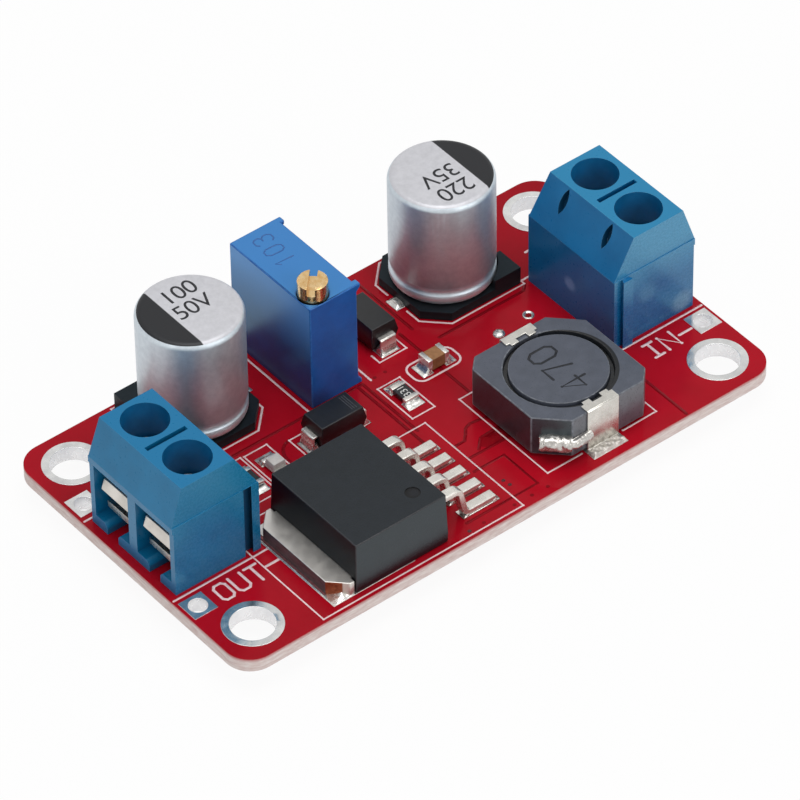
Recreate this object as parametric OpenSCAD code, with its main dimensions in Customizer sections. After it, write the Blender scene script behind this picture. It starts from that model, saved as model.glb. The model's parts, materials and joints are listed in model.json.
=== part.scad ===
// Boost converter module: a circuit board that carries an output and an input screw terminal, a power
// regulator, a shielded inductor, two electrolytic capacitors, a multi-turn trimmer, two diodes and chips.
// Lengths are in millimetres. The origin lies under the board's centre at the level of the pin tips.
// +X points to the input terminal, +Y to the board edge with the capacitors, +Z up.

/* [Board] */
// Length of the board, along X
board_l = 51; // [49:0.5:70]
// Width of the board, along Y
board_w = 28.4; // [27.5:0.1:45]
// Thickness of the board
board_t = 1.2; // [1:0.1:2]
// Radius of the board's corners
board_corner_r = 2.2; // [0.5:0.1:3]
// Distance of each mounting hole's centre from its two board edges
hole_inset = 3.25; // [2.9:0.05:4]
// Diameter of a finished mounting hole
hole_d = 3.5; // [2.5:0.1:3.8]
// Diameter of the tinned ring round a mounting hole
hole_ring_d = 4.7; // [4.4:0.1:5.2]
// Height of the tinned copper above the board's faces
copper_t = 0.06; // [0.03:0.01:0.12]
// Thickness of the plating in a hole
plating_t = 0.2; // [0.16:0.01:0.24]
// Length of the pins below the board
pin_drop = 1.9; // [1.2:0.1:3]

/* [Wire pads] */
// Side of a square wire pad
wire_pad_side = 2.1; // [1.9:0.1:2.4]
// Diameter of the hole in a wire pad
wire_hole_d = 1.5; // [0.8:0.1:1.6]
// Distance from a wire pad to the short board edge
wire_pad_inset = 0.25; // [0.2:0.05:1]
// How far a wire pad lies to the terminal's side of the middle between terminal and mounting hole
wire_pad_shift = 1.08; // [0.9:0.02:1.2]

/* [Screw terminals] */
// Distance between the two poles of a terminal
pole_pitch = 5.08; // [4.9:0.01:5.4]
// Depth of a terminal from its wire entry to its back
terminal_d = 7.95; // [7.6:0.05:8.8]
// Height of a terminal above the board
terminal_h = 10.05; // [9.6:0.05:12]
// Distance from a terminal's wire entry to the board edge
terminal_inset = 0.62; // [0.3:0.01:1]
// Length of the flat top, between the two slopes
terminal_top_l = 4.85; // [4.4:0.05:5.2]
// How far the slope above the wire entry leans back
entry_slope_run = 1.1; // [0.6:0.05:1.3]
// Height where the slope above the wire entry starts
entry_slope_z = 6.75; // [6.3:0.05:7.2]
// Height where the slope at the back starts
back_slope_z = 6.65; // [6:0.05:7.2]
// Thickness of the end walls
end_wall_t = 0.5; // [0.4:0.05:0.6]
// Thickness of the wall between the poles
middle_wall_t = 0.95; // [0.7:0.05:1.1]
// Thickness of the floor under a wire bay
bay_floor_t = 1; // [0.7:0.05:1.2]
// Height of the lip above a wire bay
bay_lip_h = 0.6; // [0.4:0.05:0.7]
// How far that lip stands out over the walls below it
lip_overhang = 0.1; // [0.05:0.01:0.3]
// Width of the slot in the bay's floor
floor_slot_w = 1.3; // [1.2:0.05:1.6]
// Radius of the slot's upper edges
floor_slot_r = 0.5; // [0.2:0.05:0.6]
// Height of the ledge that carries the contact
ledge_z = 1.65; // [1.5:0.05:2]
// Distance from the wire entry to that ledge
ledge_inset = 1.75; // [1.4:0.05:1.85]
// Gap between a screw's head and its well
well_gap = 0.15; // [0.1:0.01:0.2]
// Distance of a screw's axis from the wire entry
screw_inset = 3.5; // [3.4:0.05:3.7]
// Width of the slit between the wells
slit_w = 0.42; // [0.3:0.02:0.6]
// Depth of that slit
slit_depth = 1; // [0.5:0.1:2]
// Distance of the dovetail from the back
dovetail_inset = 1.06; // [0.8:0.02:1.1]
// Width of the dovetail at the end wall
dovetail_neck_w = 0.6; // [0.5:0.05:0.7]
// Width of the dovetail at its widest
dovetail_w = 0.95; // [0.8:0.05:1.1]
// How far the dovetail stands out of the end wall
dovetail_h = 0.38; // [0.3:0.02:0.42]
// Play of the dovetail in its groove
dovetail_play = 0.06; // [0.03:0.01:0.1]
// How far the dovetail ends below the slope
dovetail_drop = 0.1; // [0.05:0.05:0.8]
// How far the end walls step in above the slope
end_step = 0.07; // [0.03:0.01:0.1]
// Width of the relief slot in the back slope
relief_w = 0.7; // [0.4:0.05:0.8]
// Length of the relief slot
relief_l = 2.2; // [1.4:0.1:2.4]
// Depth of the relief slot
relief_depth = 0.6; // [0.3:0.1:0.6]
// Distance from the relief slot to the flat top
relief_inset = 0.16; // [0.1:0.02:0.6]

/* [Wire clamps] */
// Thickness of a contact bracket
contact_t = 0.6; // [0.5:0.05:0.7]
// Width of the threaded plate beside its thread
contact_margin = 0.18; // [0.15:0.01:0.3]
// Length of the threaded plate in front of its thread
nut_margin = 0.15; // [0.1:0.01:0.2]
// Distance from the thread to the bracket's back
contact_reach = 0.55; // [0.5:0.05:0.7]
// Distance from the wire entry to the bracket's front edge
contact_inset = 0.95; // [0.8:0.05:1.2]
// Gap between the bracket and the back wall
contact_gap = 0.2; // [0.1:0.05:0.3]
// Length of a clamp's travel
clamp_travel = 1; // [0.5:0.5:1]
// Height left for the wire with the clamp shut
clamp_shut_gap = 0.35; // [0.32:0.01:0.6]
// Thickness of a pressure plate
plate_t = 0.3; // [0.2:0.02:0.32]
// Gap between an open pressure plate and the threaded plate
plate_gap = 0.15; // [0.1:0.01:0.2]
// Distance from the wire entry to the plate's upright lip
plate_lip_inset = 0.42; // [0.3:0.02:0.5]
// How far the plate's lip leans back
plate_lip_lean = 0.3; // [0.1:0.05:0.4]
// Height of the plate's lip over its tongue
plate_lip_h = 0.75; // [0.5:0.05:1]
// Gap left behind a pressure plate
plate_back_gap = 0.35; // [0.3:0.05:0.6]
// Outer diameter of the screw thread
clamp_thread_d = 3; // [2.6:0.1:3.1]
// Radial play of the screw in its thread
thread_play = 0.06; // [0.03:0.01:0.09]
// How far the clamp screw's head stands out over the thread
head_margin = 0.2; // [0.1:0.01:0.22]
// Height of the clamp screw's head
clamp_head_h = 0.8; // [0.6:0.05:1]
// Gap under the head with the clamp shut
clamp_head_gap = 0.45; // [0.3:0.05:0.5]
// Width of the screwdriver slot
clamp_slot_w = 0.5; // [0.4:0.05:0.6]
// Depth of the screwdriver slot
clamp_slot_depth = 0.45; // [0.3:0.05:0.5]
// Width of a terminal pin along X
pin_l = 1; // [0.8:0.05:1.1]
// Width of a terminal pin along Y
pin_w = 0.8; // [0.6:0.05:0.9]
// Play of a terminal pin's corners in its hole
pin_play = 0.11; // [0.05:0.01:0.2]

/* [Trimmer] */
// Width of the trimmer along X
trimmer_w = 4.8; // [4.4:0.05:5.4]
// Length of the trimmer along Y
trimmer_l = 9.75; // [9.3:0.05:10.2]
// Height of the trimmer above the board
trimmer_h = 10; // [9:0.1:11]
// Place of the trimmer's middle along X
trimmer_x = -2.36; // [-2.6:0.02:-2]
// Distance from the trimmer to the back board edge
trimmer_inset = 0.2; // [0.1:0.02:0.6]
// How far the corner lugs stand out
lug_h = 0.35; // [0.2:0.05:0.5]
// Width of a corner lug
lug_w = 0.6; // [0.4:0.05:1]
// Diameter of the adjusting screw
trimmer_screw_d = 2.35; // [2.1:0.05:2.5]
// Distance of the screw from two trimmer sides
trimmer_screw_wall = 0.17; // [0.12:0.01:0.5]
// How far the screw stands out of the housing
trimmer_screw_rise = 1.45; // [1:0.05:2]
// Length of the screw inside the housing
trimmer_screw_depth = 3; // [2:0.1:4]
// Radial play of the adjusting screw
trimmer_play = 0.04; // [0.02:0.01:0.08]
// Width of the adjusting slot
trimmer_slot_w = 0.62; // [0.4:0.02:0.7]
// Depth of the adjusting slot
trimmer_slot_depth = 0.76; // [0.4:0.02:1]
// Turn of the adjusting slot from the X direction
trimmer_slot_turn = 45; // [0:5:175]
// Distance between two trimmer pins
trimmer_pin_pitch = 2.54; // [2:0.01:3]
// Diameter of a trimmer pin
trimmer_pin_d = 0.5; // [0.4:0.05:0.6]
// Diameter of the hole for a trimmer pin
trimmer_pin_hole_d = 0.9; // [0.7:0.05:1]

/* [Electrolytic capacitors] */
// Diameter of a can
can_d = 8.3; // [7.6:0.05:8.6]
// Height of a capacitor above its pads
can_top_z = 10.65; // [9:0.05:12]
// Radius of the can's upper edge
can_edge_r = 0.55; // [0.3:0.05:0.8]
// Radius of the bead at the can's foot
can_bead_r = 0.55; // [0.3:0.05:0.6]
// Depth of the neck above the bead
can_neck_depth = 0.18; // [0.05:0.01:0.2]
// Height of the can's seat in the base
can_seat_z = 0.75; // [0.6:0.05:1]
// Height of the base's corners
base_h = 1.6; // [1.3:0.05:1.9]
// How much wider the base is than the can
base_margin = 0.2; // [0.1:0.05:0.4]
// Length of a raised corner along its two sides
base_corner_l = 2.5; // [1.8:0.1:2.6]
// Gap between the can and the base's corners
base_can_gap = 0.12; // [0.05:0.01:0.2]
// Legs of the two chamfers that mark the positive side
base_chamfer = 1.75; // [1:0.05:2]
// Width of a capacitor lead
cap_lead_w = 0.8; // [0.6:0.05:1]
// Thickness of a capacitor lead
cap_lead_t = 0.2; // [0.1:0.02:0.3]
// How far a capacitor lead shows beside the base
cap_lead_out = 0.5; // [0.3:0.05:0.7]
// Distance of the lead's upright from the can's middle
cap_lead_root = 1.55; // [1.2:0.05:2]
// Gap from a base to the terminal beside it
base_terminal_gap = 0.68; // [0.6:0.02:0.8]
// Distance from a base to the back board edge
base_inset = 0.52; // [0.3:0.02:0.6]

/* [Regulator] */
// Length of the body along X, at its foot
regulator_l = 8.65; // [8.2:0.05:9]
// Width of the body along Y, at its foot
regulator_w = 10.2; // [9.8:0.05:10.6]
// Height of the body
regulator_h = 4.65; // [4.3:0.05:4.9]
// Height of the mould line
regulator_mould_z = 0.9; // [0.7:0.05:1.1]
// How far the sides lean in above the mould line
regulator_draft = 0.11; // [0.05:0.01:0.3]
// Thickness of the heat tab
tab_t = 1.27; // [1.1:0.01:1.4]
// How far the heat tab shows
tab_out = 1.8; // [1.4:0.05:2]
// Length of the tab inside the body
tab_in = 5.5; // [4:0.1:6]
// Width of the heat tab
tab_w = 10; // [9:0.05:10.1]
// How much each side of the tab steps in inside the body
tab_step = 0.5; // [0.3:0.05:1]
// Gap between that step and the body
tab_gap = 0.06; // [0.03:0.01:0.1]
// Legs of the tab's corner chamfers
tab_chamfer = 1.3; // [0.8:0.05:1.4]
// Distance between two leads
lead_pitch = 1.74; // [1.6:0.01:1.8]
// Width of a lead
lead_w = 0.82; // [0.7:0.02:1]
// Thickness of a lead
lead_t = 0.5; // [0.4:0.02:0.55]
// Height of a lead's upper face where it leaves the body
lead_exit_z = 3.05; // [2.8:0.05:3.3]
// Length of a lead's straight shoulder
shoulder_l = 1.7; // [1.3:0.05:1.9]
// Inner radius of a lead's two bends
lead_bend_r = 0.3; // [0.15:0.05:0.4]
// Slant of a lead's leg from the board
lead_slant = 78; // [70:1:86]
// Length of a lead's straight foot
foot_l = 2.4; // [2:0.05:2.5]
// Length of a lead inside the body
lead_in = 1; // [0.6:0.1:1.5]
// Gap from the heat tab to the output terminal
regulator_terminal_gap = 0.6; // [0.5:0.02:0.8]
// Distance from the body to the front board edge
regulator_inset = 0.85; // [0.6:0.05:1]
// Diameter of the dimple beside the first lead
dimple_d = 1.2; // [0.8:0.05:1.4]
// Depth of that dimple
dimple_depth = 0.06; // [0.03:0.01:0.12]

/* [Inductor] */
// Side of the shield ring
shield_side = 10.1; // [9.8:0.05:10.6]
// Height of the shield ring
shield_h = 3.6; // [3.2:0.05:4.2]
// Gap from the shield to the pads
shield_lift = 0.25; // [0.22:0.01:0.4]
// Diameter of the opening in the shield
shield_bore_d = 8.4; // [8.2:0.05:8.6]
// Legs of the large corner chamfers
shield_chamfer = 2.2; // [1.8:0.05:2.3]
// Legs of the small corner chamfers
shield_small_chamfer = 1; // [0.5:0.05:1.2]
// Width of the ring gap between the shield and the drum
ring_gap = 0.38; // [0.2:0.01:0.42]
// Thickness of the drum's flanges
drum_flange_t = 0.8; // [0.6:0.05:1]
// Diameter of the drum's core
drum_core_d = 4.4; // [3.6:0.1:5]
// How far the winding stays inside the drum's flanges
winding_inset = 0.4; // [0.2:0.05:0.8]
// Gap between the winding and the drum
winding_gap = 0.04; // [0.02:0.01:0.1]
// Depth of the glue below the top
glue_depth = 0.4; // [0.2:0.05:0.6]
// Gap at the glue's two sides
glue_gap = 0.01; // [0.005:0.001:0.02]
// Width of a clip
clip_w = 3; // [2.8:0.05:3.4]
// Thickness of a clip
clip_t = 0.18; // [0.12:0.01:0.2]
// Length of a clip on the shield's top
clip_top_l = 1; // [0.8:0.02:1.04]
// Width of the notch in a clip
clip_notch_w = 0.95; // [0.7:0.05:1.1]
// Depth of that notch
clip_notch_depth = 0.45; // [0.3:0.01:0.46]
// Side of the steps at a clip's upper corners
clip_step = 0.3; // [0.2:0.05:0.4]
// Length of a clip's foot
clip_foot_l = 0.8; // [0.6:0.05:1]
// Reach of a clip's wire hook along the corner chamfer
hook_run = 1.8; // [1.2:0.05:1.95]
// Height of a clip's wire hook
hook_h = 0.75; // [0.5:0.05:0.9]
// Height of the hook's lower edge above the pads
hook_z = 1.35; // [1.1:0.05:1.6]
// Share of the free length between the regulator's leads and the input terminal that lies behind the shield
inductor_place = 0.31; // [0.2:0.01:0.8]
// Distance from the shield to the front board edge
inductor_inset = 1.85; // [1.7:0.05:2.1]

/* [Diodes] */
// Length of a diode's body
diode_l = 4.3; // [4:0.05:4.6]
// Width of a diode's body
diode_w = 2.6; // [2.3:0.05:2.9]
// Height of a diode's body
diode_h = 2.05; // [1.8:0.05:2.3]
// Height of a diode's mould line
diode_mould_z = 1.05; // [0.95:0.05:1.2]
// How far a diode's sides lean in
diode_draft = 0.2; // [0.05:0.01:0.25]
// Width of a diode's lead
diode_lead_w = 1.45; // [1.2:0.05:1.7]
// Thickness of a diode's lead
diode_lead_t = 0.2; // [0.15:0.01:0.24]
// How far a lead stands out of the body
diode_lead_out = 0.42; // [0.38:0.01:0.5]
// Length of a lead's foot under the body
diode_foot_l = 1.2; // [0.9:0.05:1.4]
// Length of a lead inside the body
diode_lead_in = 0.5; // [0.3:0.05:0.8]
// Gap from a diode's body to its pads
diode_lift = 0.25; // [0.25:0.01:0.35]
// Distance from the light to the rectifier diode's middle
rectifier_pitch = 5.67; // [5.4:0.05:5.8]
// Place of the rectifier diode along Y
rectifier_y = 1.15; // [1:0.05:1.3]
// Place of the input diode along X
input_diode_x = 3.65; // [3.5:0.05:3.8]
// Distance from the input diode's middle to the back board edge
input_diode_inset = 6.05; // [5.8:0.05:6.3]

/* [Chips] */
// Length of a chip
chip_l = 2; // [1.8:0.05:2.2]
// Width of a chip
chip_w = 1.25; // [1.1:0.05:1.4]
// Height of a resistor chip
resistor_h = 0.5; // [0.4:0.02:0.7]
// Height of the ceramic capacitor chip
ceramic_h = 1.15; // [0.8:0.05:1.3]
// Length of a tinned end
chip_end_l = 0.4; // [0.3:0.02:0.5]
// Thickness of a tinned end
chip_end_t = 0.04; // [0.02:0.01:0.06]
// Height of the light's base
led_base_h = 0.35; // [0.25:0.05:0.5]
// Height of the light's lens
led_lens_h = 0.5; // [0.3:0.05:0.7]
// Place of the feedback resistor
feedback_x = 1.45; // [1.3:0.05:1.6]
// Place of the chip row along Y
chip_row_y = 1.0; // [0.8:0.05:1.1]
// Place of the ceramic capacitor along X
ceramic_x = 5.4; // [5.2:0.05:5.6]
// Place of the ceramic capacitor along Y
ceramic_y = 2.32; // [2.2:0.02:2.5]
// Distance of the indicator resistor from the output terminal
led_resistor_gap = 3.66; // [3.3:0.02:3.8]
// Distance between the indicator resistor and the light
led_pitch = 2.45; // [2.3:0.05:2.7]

/* [Pads and solder] */
// How far a pad reaches past the lead on it
pad_margin = 0.3; // [0.2:0.05:0.4]
// Diameter of a solder joint at the board, round a terminal pin
joint_d = 2.4; // [2:0.1:2.8]
// Diameter of a solder joint at the board, round a trimmer pin
trimmer_joint_d = 1.6; // [1.3:0.1:1.8]
// Height of a solder joint
joint_h = 0.95; // [0.5:0.05:1]

/* [Hidden] */
$fn = 64;
cut = 0.5;

// Levels of the board's two faces and of the seats on its pads
board_bottom_z = pin_drop;
board_top_z = pin_drop + board_t;
seat_z = board_top_z + copper_t;

// Board edges and the planes of the terminals' backs
edge_x = board_l / 2;
edge_y = board_w / 2;
terminal_back_x = edge_x - terminal_inset - terminal_d;
terminal_w = 2 * pole_pitch;
pole_y = pole_pitch / 2;

// Wire bay of one pole, on the +Y side of its terminal
bay_y = middle_wall_t / 2;
bay_w = pole_pitch - end_wall_t - bay_y;
bay_top_z = entry_slope_z - bay_lip_h;
dovetail_z = entry_slope_z - dovetail_drop;
back_slope_run = terminal_d - entry_slope_run - terminal_top_l;

// Levels in a wire clamp, from the ledge up
clamp_floor_z = ledge_z + contact_t;
plate_z = clamp_floor_z + clamp_travel + clamp_shut_gap;
plate_top_z = plate_z + plate_t;
nut_z = plate_top_z + plate_gap;
nut_top_z = nut_z + contact_t;
screw_tip_z = plate_top_z + plate_gap / 3;
clamp_head_z = nut_top_z + clamp_travel + clamp_head_gap;

// Sizes in a wire clamp that follow from its thread
clamp_bore_r = clamp_thread_d / 2;
clamp_head_d = clamp_thread_d + 2 * head_margin;
well_d = clamp_head_d + 2 * well_gap;
contact_w = clamp_thread_d + 2 * contact_margin;
contact_back = screw_inset + clamp_bore_r + contact_reach + contact_t;
bay_depth = contact_back + contact_gap;
nut_inset = screw_inset - clamp_bore_r - nut_margin;
pin_hole_d = norm([pin_l, pin_w]) + 2 * pin_play;

// Places of parts that stand beside a terminal or a board edge
base_side = can_d + base_margin;
output_can_x = -terminal_back_x + base_terminal_gap + base_side / 2;
input_can_x = terminal_back_x - base_terminal_gap - base_side / 2;
can_y = edge_y - base_inset - base_side / 2;
trimmer_y = edge_y - trimmer_inset - trimmer_l / 2;
trimmer_screw_inset = trimmer_screw_d / 2 + trimmer_screw_wall;
regulator_x = -terminal_back_x + regulator_terminal_gap + tab_out + regulator_l / 2;
regulator_y = -edge_y + regulator_inset + regulator_w / 2;
inductor_y = -edge_y + inductor_inset + shield_side / 2;
input_diode_y = edge_y - input_diode_inset;
led_resistor_x = -terminal_back_x + led_resistor_gap;
led_x = led_resistor_x + led_pitch;
rectifier_x = led_x + rectifier_pitch;

// Pins that pass through the board
terminal_pin_x = edge_x - terminal_inset - screw_inset;
terminal_pins = [for (sx = [-1, 1], sy = [-1, 1]) [sx * terminal_pin_x, sy * pole_y]];
trimmer_pins_xy = [for (k = [-1:1]) [trimmer_x, trimmer_y + k * trimmer_pin_pitch]];
hole_places = [for (sx = [-1, 1], sy = [-1, 1]) [sx * (edge_x - hole_inset), sy * (edge_y - hole_inset)]];
wire_pad_x = edge_x - wire_pad_inset - wire_pad_side / 2;
wire_pad_y = (terminal_w / 2 + edge_y - hole_inset) / 2 - wire_pad_shift;
wire_pad_places = [for (sx = [-1, 1], sy = [-1, 1]) [sx * wire_pad_x, sy * wire_pad_y]];

// Reach of the leads, from the middle of their part
lead_mid_r = lead_bend_r + lead_t / 2;
lead_bend_h = 2 * lead_mid_r * (1 - cos(lead_slant));
leg_l = (lead_exit_z - lead_t - lead_bend_h) / sin(lead_slant);
lead_run = 2 * lead_mid_r * sin(lead_slant) + leg_l * cos(lead_slant);
lead_foot_end = regulator_l / 2 + shoulder_l + lead_run + foot_l;
lead_foot_start = lead_foot_end - foot_l - lead_t;
cap_lead_end = base_side / 2 + cap_lead_out;
clip_foot_end = shield_side / 2 + clip_t + clip_foot_l;
diode_end = diode_l / 2 + diode_lead_out;

// Place of the inductor in the free length between the regulator's leads and the input terminal
inductor_free = terminal_back_x - regulator_x - lead_foot_end - shield_side;
inductor_x = terminal_back_x - inductor_place * inductor_free - shield_side / 2;

// Inductor parts that follow from the shield's opening
drum_d = shield_bore_d - 2 * ring_gap;
winding_d = drum_d - 2 * winding_inset;
glue_h = drum_flange_t - glue_depth;

// Simple shapes

module rounded_rect(l, w, r) {
    square([l - 2 * r, w], center = true);
    square([l, w - 2 * r], center = true);
    for (sx = [-1, 1], sy = [-1, 1])
        translate([sx * (l / 2 - r), sy * (w / 2 - r)]) circle(r);
}

// A profile drawn with its height along Y is stood up and extruded by w along Y, about the middle
module across(w) {
    translate([0, w / 2, 0]) rotate([90, 0, 0]) linear_extrude(w) children();
}

// Side view of a moulded part: widest at the mould line, leaning in by d to the top and in step below
module mould_profile(w, h, mould_z, d) {
    low_d = d * mould_z / (h - mould_z);
    polygon([
        [low_d - w / 2, 0], [w / 2 - low_d, 0], [w / 2, mould_z],
        [w / 2 - d, h], [d - w / 2, h], [-w / 2, mould_z]
    ]);
}

// Moulded package: the body that has that side view both along X and along Y
module moulded_block(l, w, h, mould_z, d) {
    intersection() {
        across(2 * w) mould_profile(l, h, mould_z, d);
        rotate(90) across(2 * l) mould_profile(w, h, mould_z, d);
    }
}

// Circuit board

module circuit_board() {
    color("crimson")
        translate([0, 0, board_bottom_z])
            linear_extrude(board_t)
                difference() {
                    rounded_rect(board_l, board_w, board_corner_r);
                    for (p = hole_places) translate(p) circle(d = hole_d + 2 * plating_t);
                    for (p = wire_pad_places) translate(p) circle(d = wire_hole_d + 2 * plating_t);
                    for (p = terminal_pins) translate(p) circle(d = pin_hole_d);
                    for (p = trimmer_pins_xy) translate(p) circle(d = trimmer_pin_hole_d);
                }
}

// Sleeve in a hole, with the flange shape given as child on both faces of the board
module plated_hole(d) {
    translate([0, 0, board_bottom_z])
        difference() {
            union() {
                cylinder(d = d + 2 * plating_t, h = board_t);
                translate([0, 0, board_t]) linear_extrude(copper_t) children();
                translate([0, 0, -copper_t]) linear_extrude(copper_t) children();
            }
            translate([0, 0, -cut]) cylinder(d = d, h = board_t + 2 * cut);
        }
}

module mounting_hole_plating() {
    color("silver")
        for (p = hole_places) translate(p) plated_hole(hole_d) circle(d = hole_ring_d);
}

module wire_pads() {
    color("silver")
        for (p = wire_pad_places) translate(p) plated_hole(wire_hole_d) square(wire_pad_side, center = true);
}

// Two pads that reach from start to end on each side of a part's middle
module pad_pair(start, end, w) {
    for (side = [0, 180])
        rotate(side) translate([start, -w / 2, 0]) cube([end - start, w, copper_t]);
}

module component_pads() {
    chip_pad_end = chip_l / 2 + 2 * pad_margin;
    chip_pad_start = chip_l / 2 - chip_end_l;
    chip_pad_w = chip_w + pad_margin;
    cap_pad_end = cap_lead_end + pad_margin;
    color("silver")
        translate([0, 0, board_top_z]) {
            translate([regulator_x, regulator_y]) {
                translate([-regulator_l / 2 - tab_out - pad_margin, -regulator_w / 2, 0])
                    cube([tab_out + tab_in + pad_margin, regulator_w, copper_t]);
                for (k = [-2:2])
                    translate([lead_foot_start - pad_margin, k * lead_pitch - lead_w / 2 - pad_margin / 3, 0])
                        cube([foot_l + lead_t + 2 * pad_margin, lead_w + 2 * pad_margin / 3, copper_t]);
            }
            translate([inductor_x, inductor_y]) rotate(90)
                pad_pair(shield_side / 2 - clip_foot_l, clip_foot_end + pad_margin / 2, clip_w + pad_margin);
            for (x = [output_can_x, input_can_x])
                translate([x, can_y]) pad_pair(cap_lead_root, cap_pad_end, cap_lead_w + 2 * pad_margin);
            translate([rectifier_x, rectifier_y])
                pad_pair(diode_end - diode_foot_l, diode_end + pad_margin, diode_lead_w + pad_margin);
            translate([input_diode_x, input_diode_y]) rotate(90)
                pad_pair(diode_end - diode_foot_l, diode_end + pad_margin, diode_lead_w + pad_margin);
            for (x = [led_resistor_x, led_x, feedback_x])
                translate([x, chip_row_y]) rotate(90) pad_pair(chip_pad_start, chip_pad_end, chip_pad_w);
            translate([ceramic_x, ceramic_y]) pad_pair(chip_pad_start, chip_pad_end, chip_pad_w);
        }
}

module pin_solder() {
    color("gainsboro")
        translate([0, 0, board_bottom_z - joint_h]) {
            for (p = terminal_pins)
                translate(p)
                    difference() {
                        cylinder(d1 = 1.2 * pin_l, d2 = joint_d, h = joint_h);
                        translate([-pin_l / 2, -pin_w / 2, -cut]) cube([pin_l, pin_w, joint_h + 2 * cut]);
                    }
            for (p = trimmer_pins_xy)
                translate(p)
                    difference() {
                        cylinder(d1 = 1.4 * trimmer_pin_d, d2 = trimmer_joint_d, h = joint_h);
                        translate([0, 0, -cut]) cylinder(d = trimmer_pin_d, h = joint_h + 2 * cut);
                    }
        }
}

// Screw terminals: local X runs in from the wire entry, Z up from the board

module at_output_terminal() {
    translate([terminal_inset - edge_x, 0, board_top_z]) children();
}

module at_input_terminal() {
    translate([edge_x - terminal_inset, 0, board_top_z]) rotate(180) children();
}

module terminal_side_profile() {
    polygon([
        [lip_overhang, 0], [terminal_d, 0], [terminal_d, back_slope_z],
        [terminal_d - back_slope_run, terminal_h], [entry_slope_run, terminal_h],
        [0, entry_slope_z], [0, bay_top_z], [lip_overhang, bay_top_z]
    ]);
}

// Plan of the dovetail, standing out along +Y from the origin
module dovetail_plan(play) {
    neck = dovetail_neck_w / 2 + play;
    wide = dovetail_w / 2 + play;
    deep = dovetail_h + play;
    polygon([[-neck, 0], [neck, 0], [wide, deep], [-wide, deep]]);
}

// Slot in a bay's floor, seen from the wire entry, with rounded upper edges
module floor_slot_profile() {
    flare_w = floor_slot_w + 2 * floor_slot_r;
    translate([-floor_slot_w / 2, -cut]) square([floor_slot_w, ledge_z + 2 * cut]);
    difference() {
        translate([-flare_w / 2, bay_floor_t - floor_slot_r]) square([flare_w, floor_slot_r + cut]);
        for (side = [-1, 1]) translate([side * flare_w / 2, bay_floor_t - floor_slot_r]) circle(floor_slot_r);
    }
}

// What is cut out of the housing for the pole on its +Y side
module pole_cavity() {
    translate([-cut, bay_y, bay_floor_t]) cube([ledge_inset + cut, bay_w, bay_top_z - bay_floor_t]);
    translate([0, bay_y, ledge_z]) cube([bay_depth, bay_w, bay_top_z - ledge_z]);
    translate([-cut, pole_y, 0]) rotate([90, 0, 90])
        linear_extrude(ledge_inset + cut) floor_slot_profile();
    translate([0, pole_y - floor_slot_w / 2, -cut])
        cube([screw_inset + floor_slot_w / 2, floor_slot_w, ledge_z + 2 * cut]);
    translate([screw_inset, pole_y, ledge_z + cut]) cylinder(d = well_d, h = terminal_h);
}

// Almond-shaped relief slot, sunk square to the back slope at the pole on the +Y side
module relief_slot() {
    slope_angle = atan2(terminal_h - back_slope_z, back_slope_run);
    arc_r = (relief_l * relief_l + relief_w * relief_w) / (4 * relief_w);
    translate([terminal_d - back_slope_run, pole_y, terminal_h]) rotate([0, slope_angle, 0])
        translate([relief_inset + relief_l / 2, 0, -relief_depth])
            linear_extrude(relief_depth + cut)
                intersection() {
                    translate([0, arc_r - relief_w / 2]) circle(arc_r);
                    translate([0, relief_w / 2 - arc_r]) circle(arc_r);
                }
}

module terminal_housing() {
    dovetail_x = terminal_d - dovetail_inset;
    color("steelblue")
        difference() {
            union() {
                across(terminal_w) terminal_side_profile();
                translate([dovetail_x, terminal_w / 2, 0]) linear_extrude(dovetail_z) dovetail_plan(0);
            }
            for (side = [0, 1])
                mirror([0, side, 0]) {
                    pole_cavity();
                    relief_slot();
                    translate([-cut, terminal_w / 2 - end_step, entry_slope_z])
                        cube([terminal_d + 2 * cut, end_step + cut, terminal_h]);
                }
            translate([screw_inset - well_d / 2, -slit_w / 2, terminal_h - slit_depth])
                cube([well_d, slit_w, slit_depth + cut]);
            translate([dovetail_x, -terminal_w / 2, -cut])
                linear_extrude(dovetail_z + cut + dovetail_play) {
                    dovetail_plan(dovetail_play);
                    translate([-dovetail_neck_w / 2 - dovetail_play, -cut])
                        square([dovetail_neck_w + 2 * dovetail_play, cut]);
                }
        }
}

// Bent strip: clamp floor, back and threaded plate in one, with the solder pin below
module contact_bracket() {
    tip_z = -board_t - pin_drop;
    pin_taper = pin_w / 4;
    difference() {
        across(contact_w)
            polygon([
                [contact_inset, ledge_z], [contact_back, ledge_z], [contact_back, nut_top_z],
                [nut_inset, nut_top_z], [nut_inset, nut_z], [contact_back - contact_t, nut_z],
                [contact_back - contact_t, clamp_floor_z], [contact_inset, clamp_floor_z]
            ]);
        translate([screw_inset, 0, nut_z - cut]) cylinder(r = clamp_bore_r, h = contact_t + 2 * cut);
    }
    translate([screw_inset, 0, 0])
        across(pin_w)
            polygon([
                [-pin_l / 2, ledge_z], [-pin_l / 2, tip_z + pin_taper], [pin_taper - pin_l / 2, tip_z],
                [pin_l / 2 - pin_taper, tip_z], [pin_l / 2, tip_z + pin_taper], [pin_l / 2, ledge_z]
            ]);
}

module terminal_contacts() {
    color("silver")
        for (side = [-1, 1]) translate([0, side * pole_y, 0]) contact_bracket();
}

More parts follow.
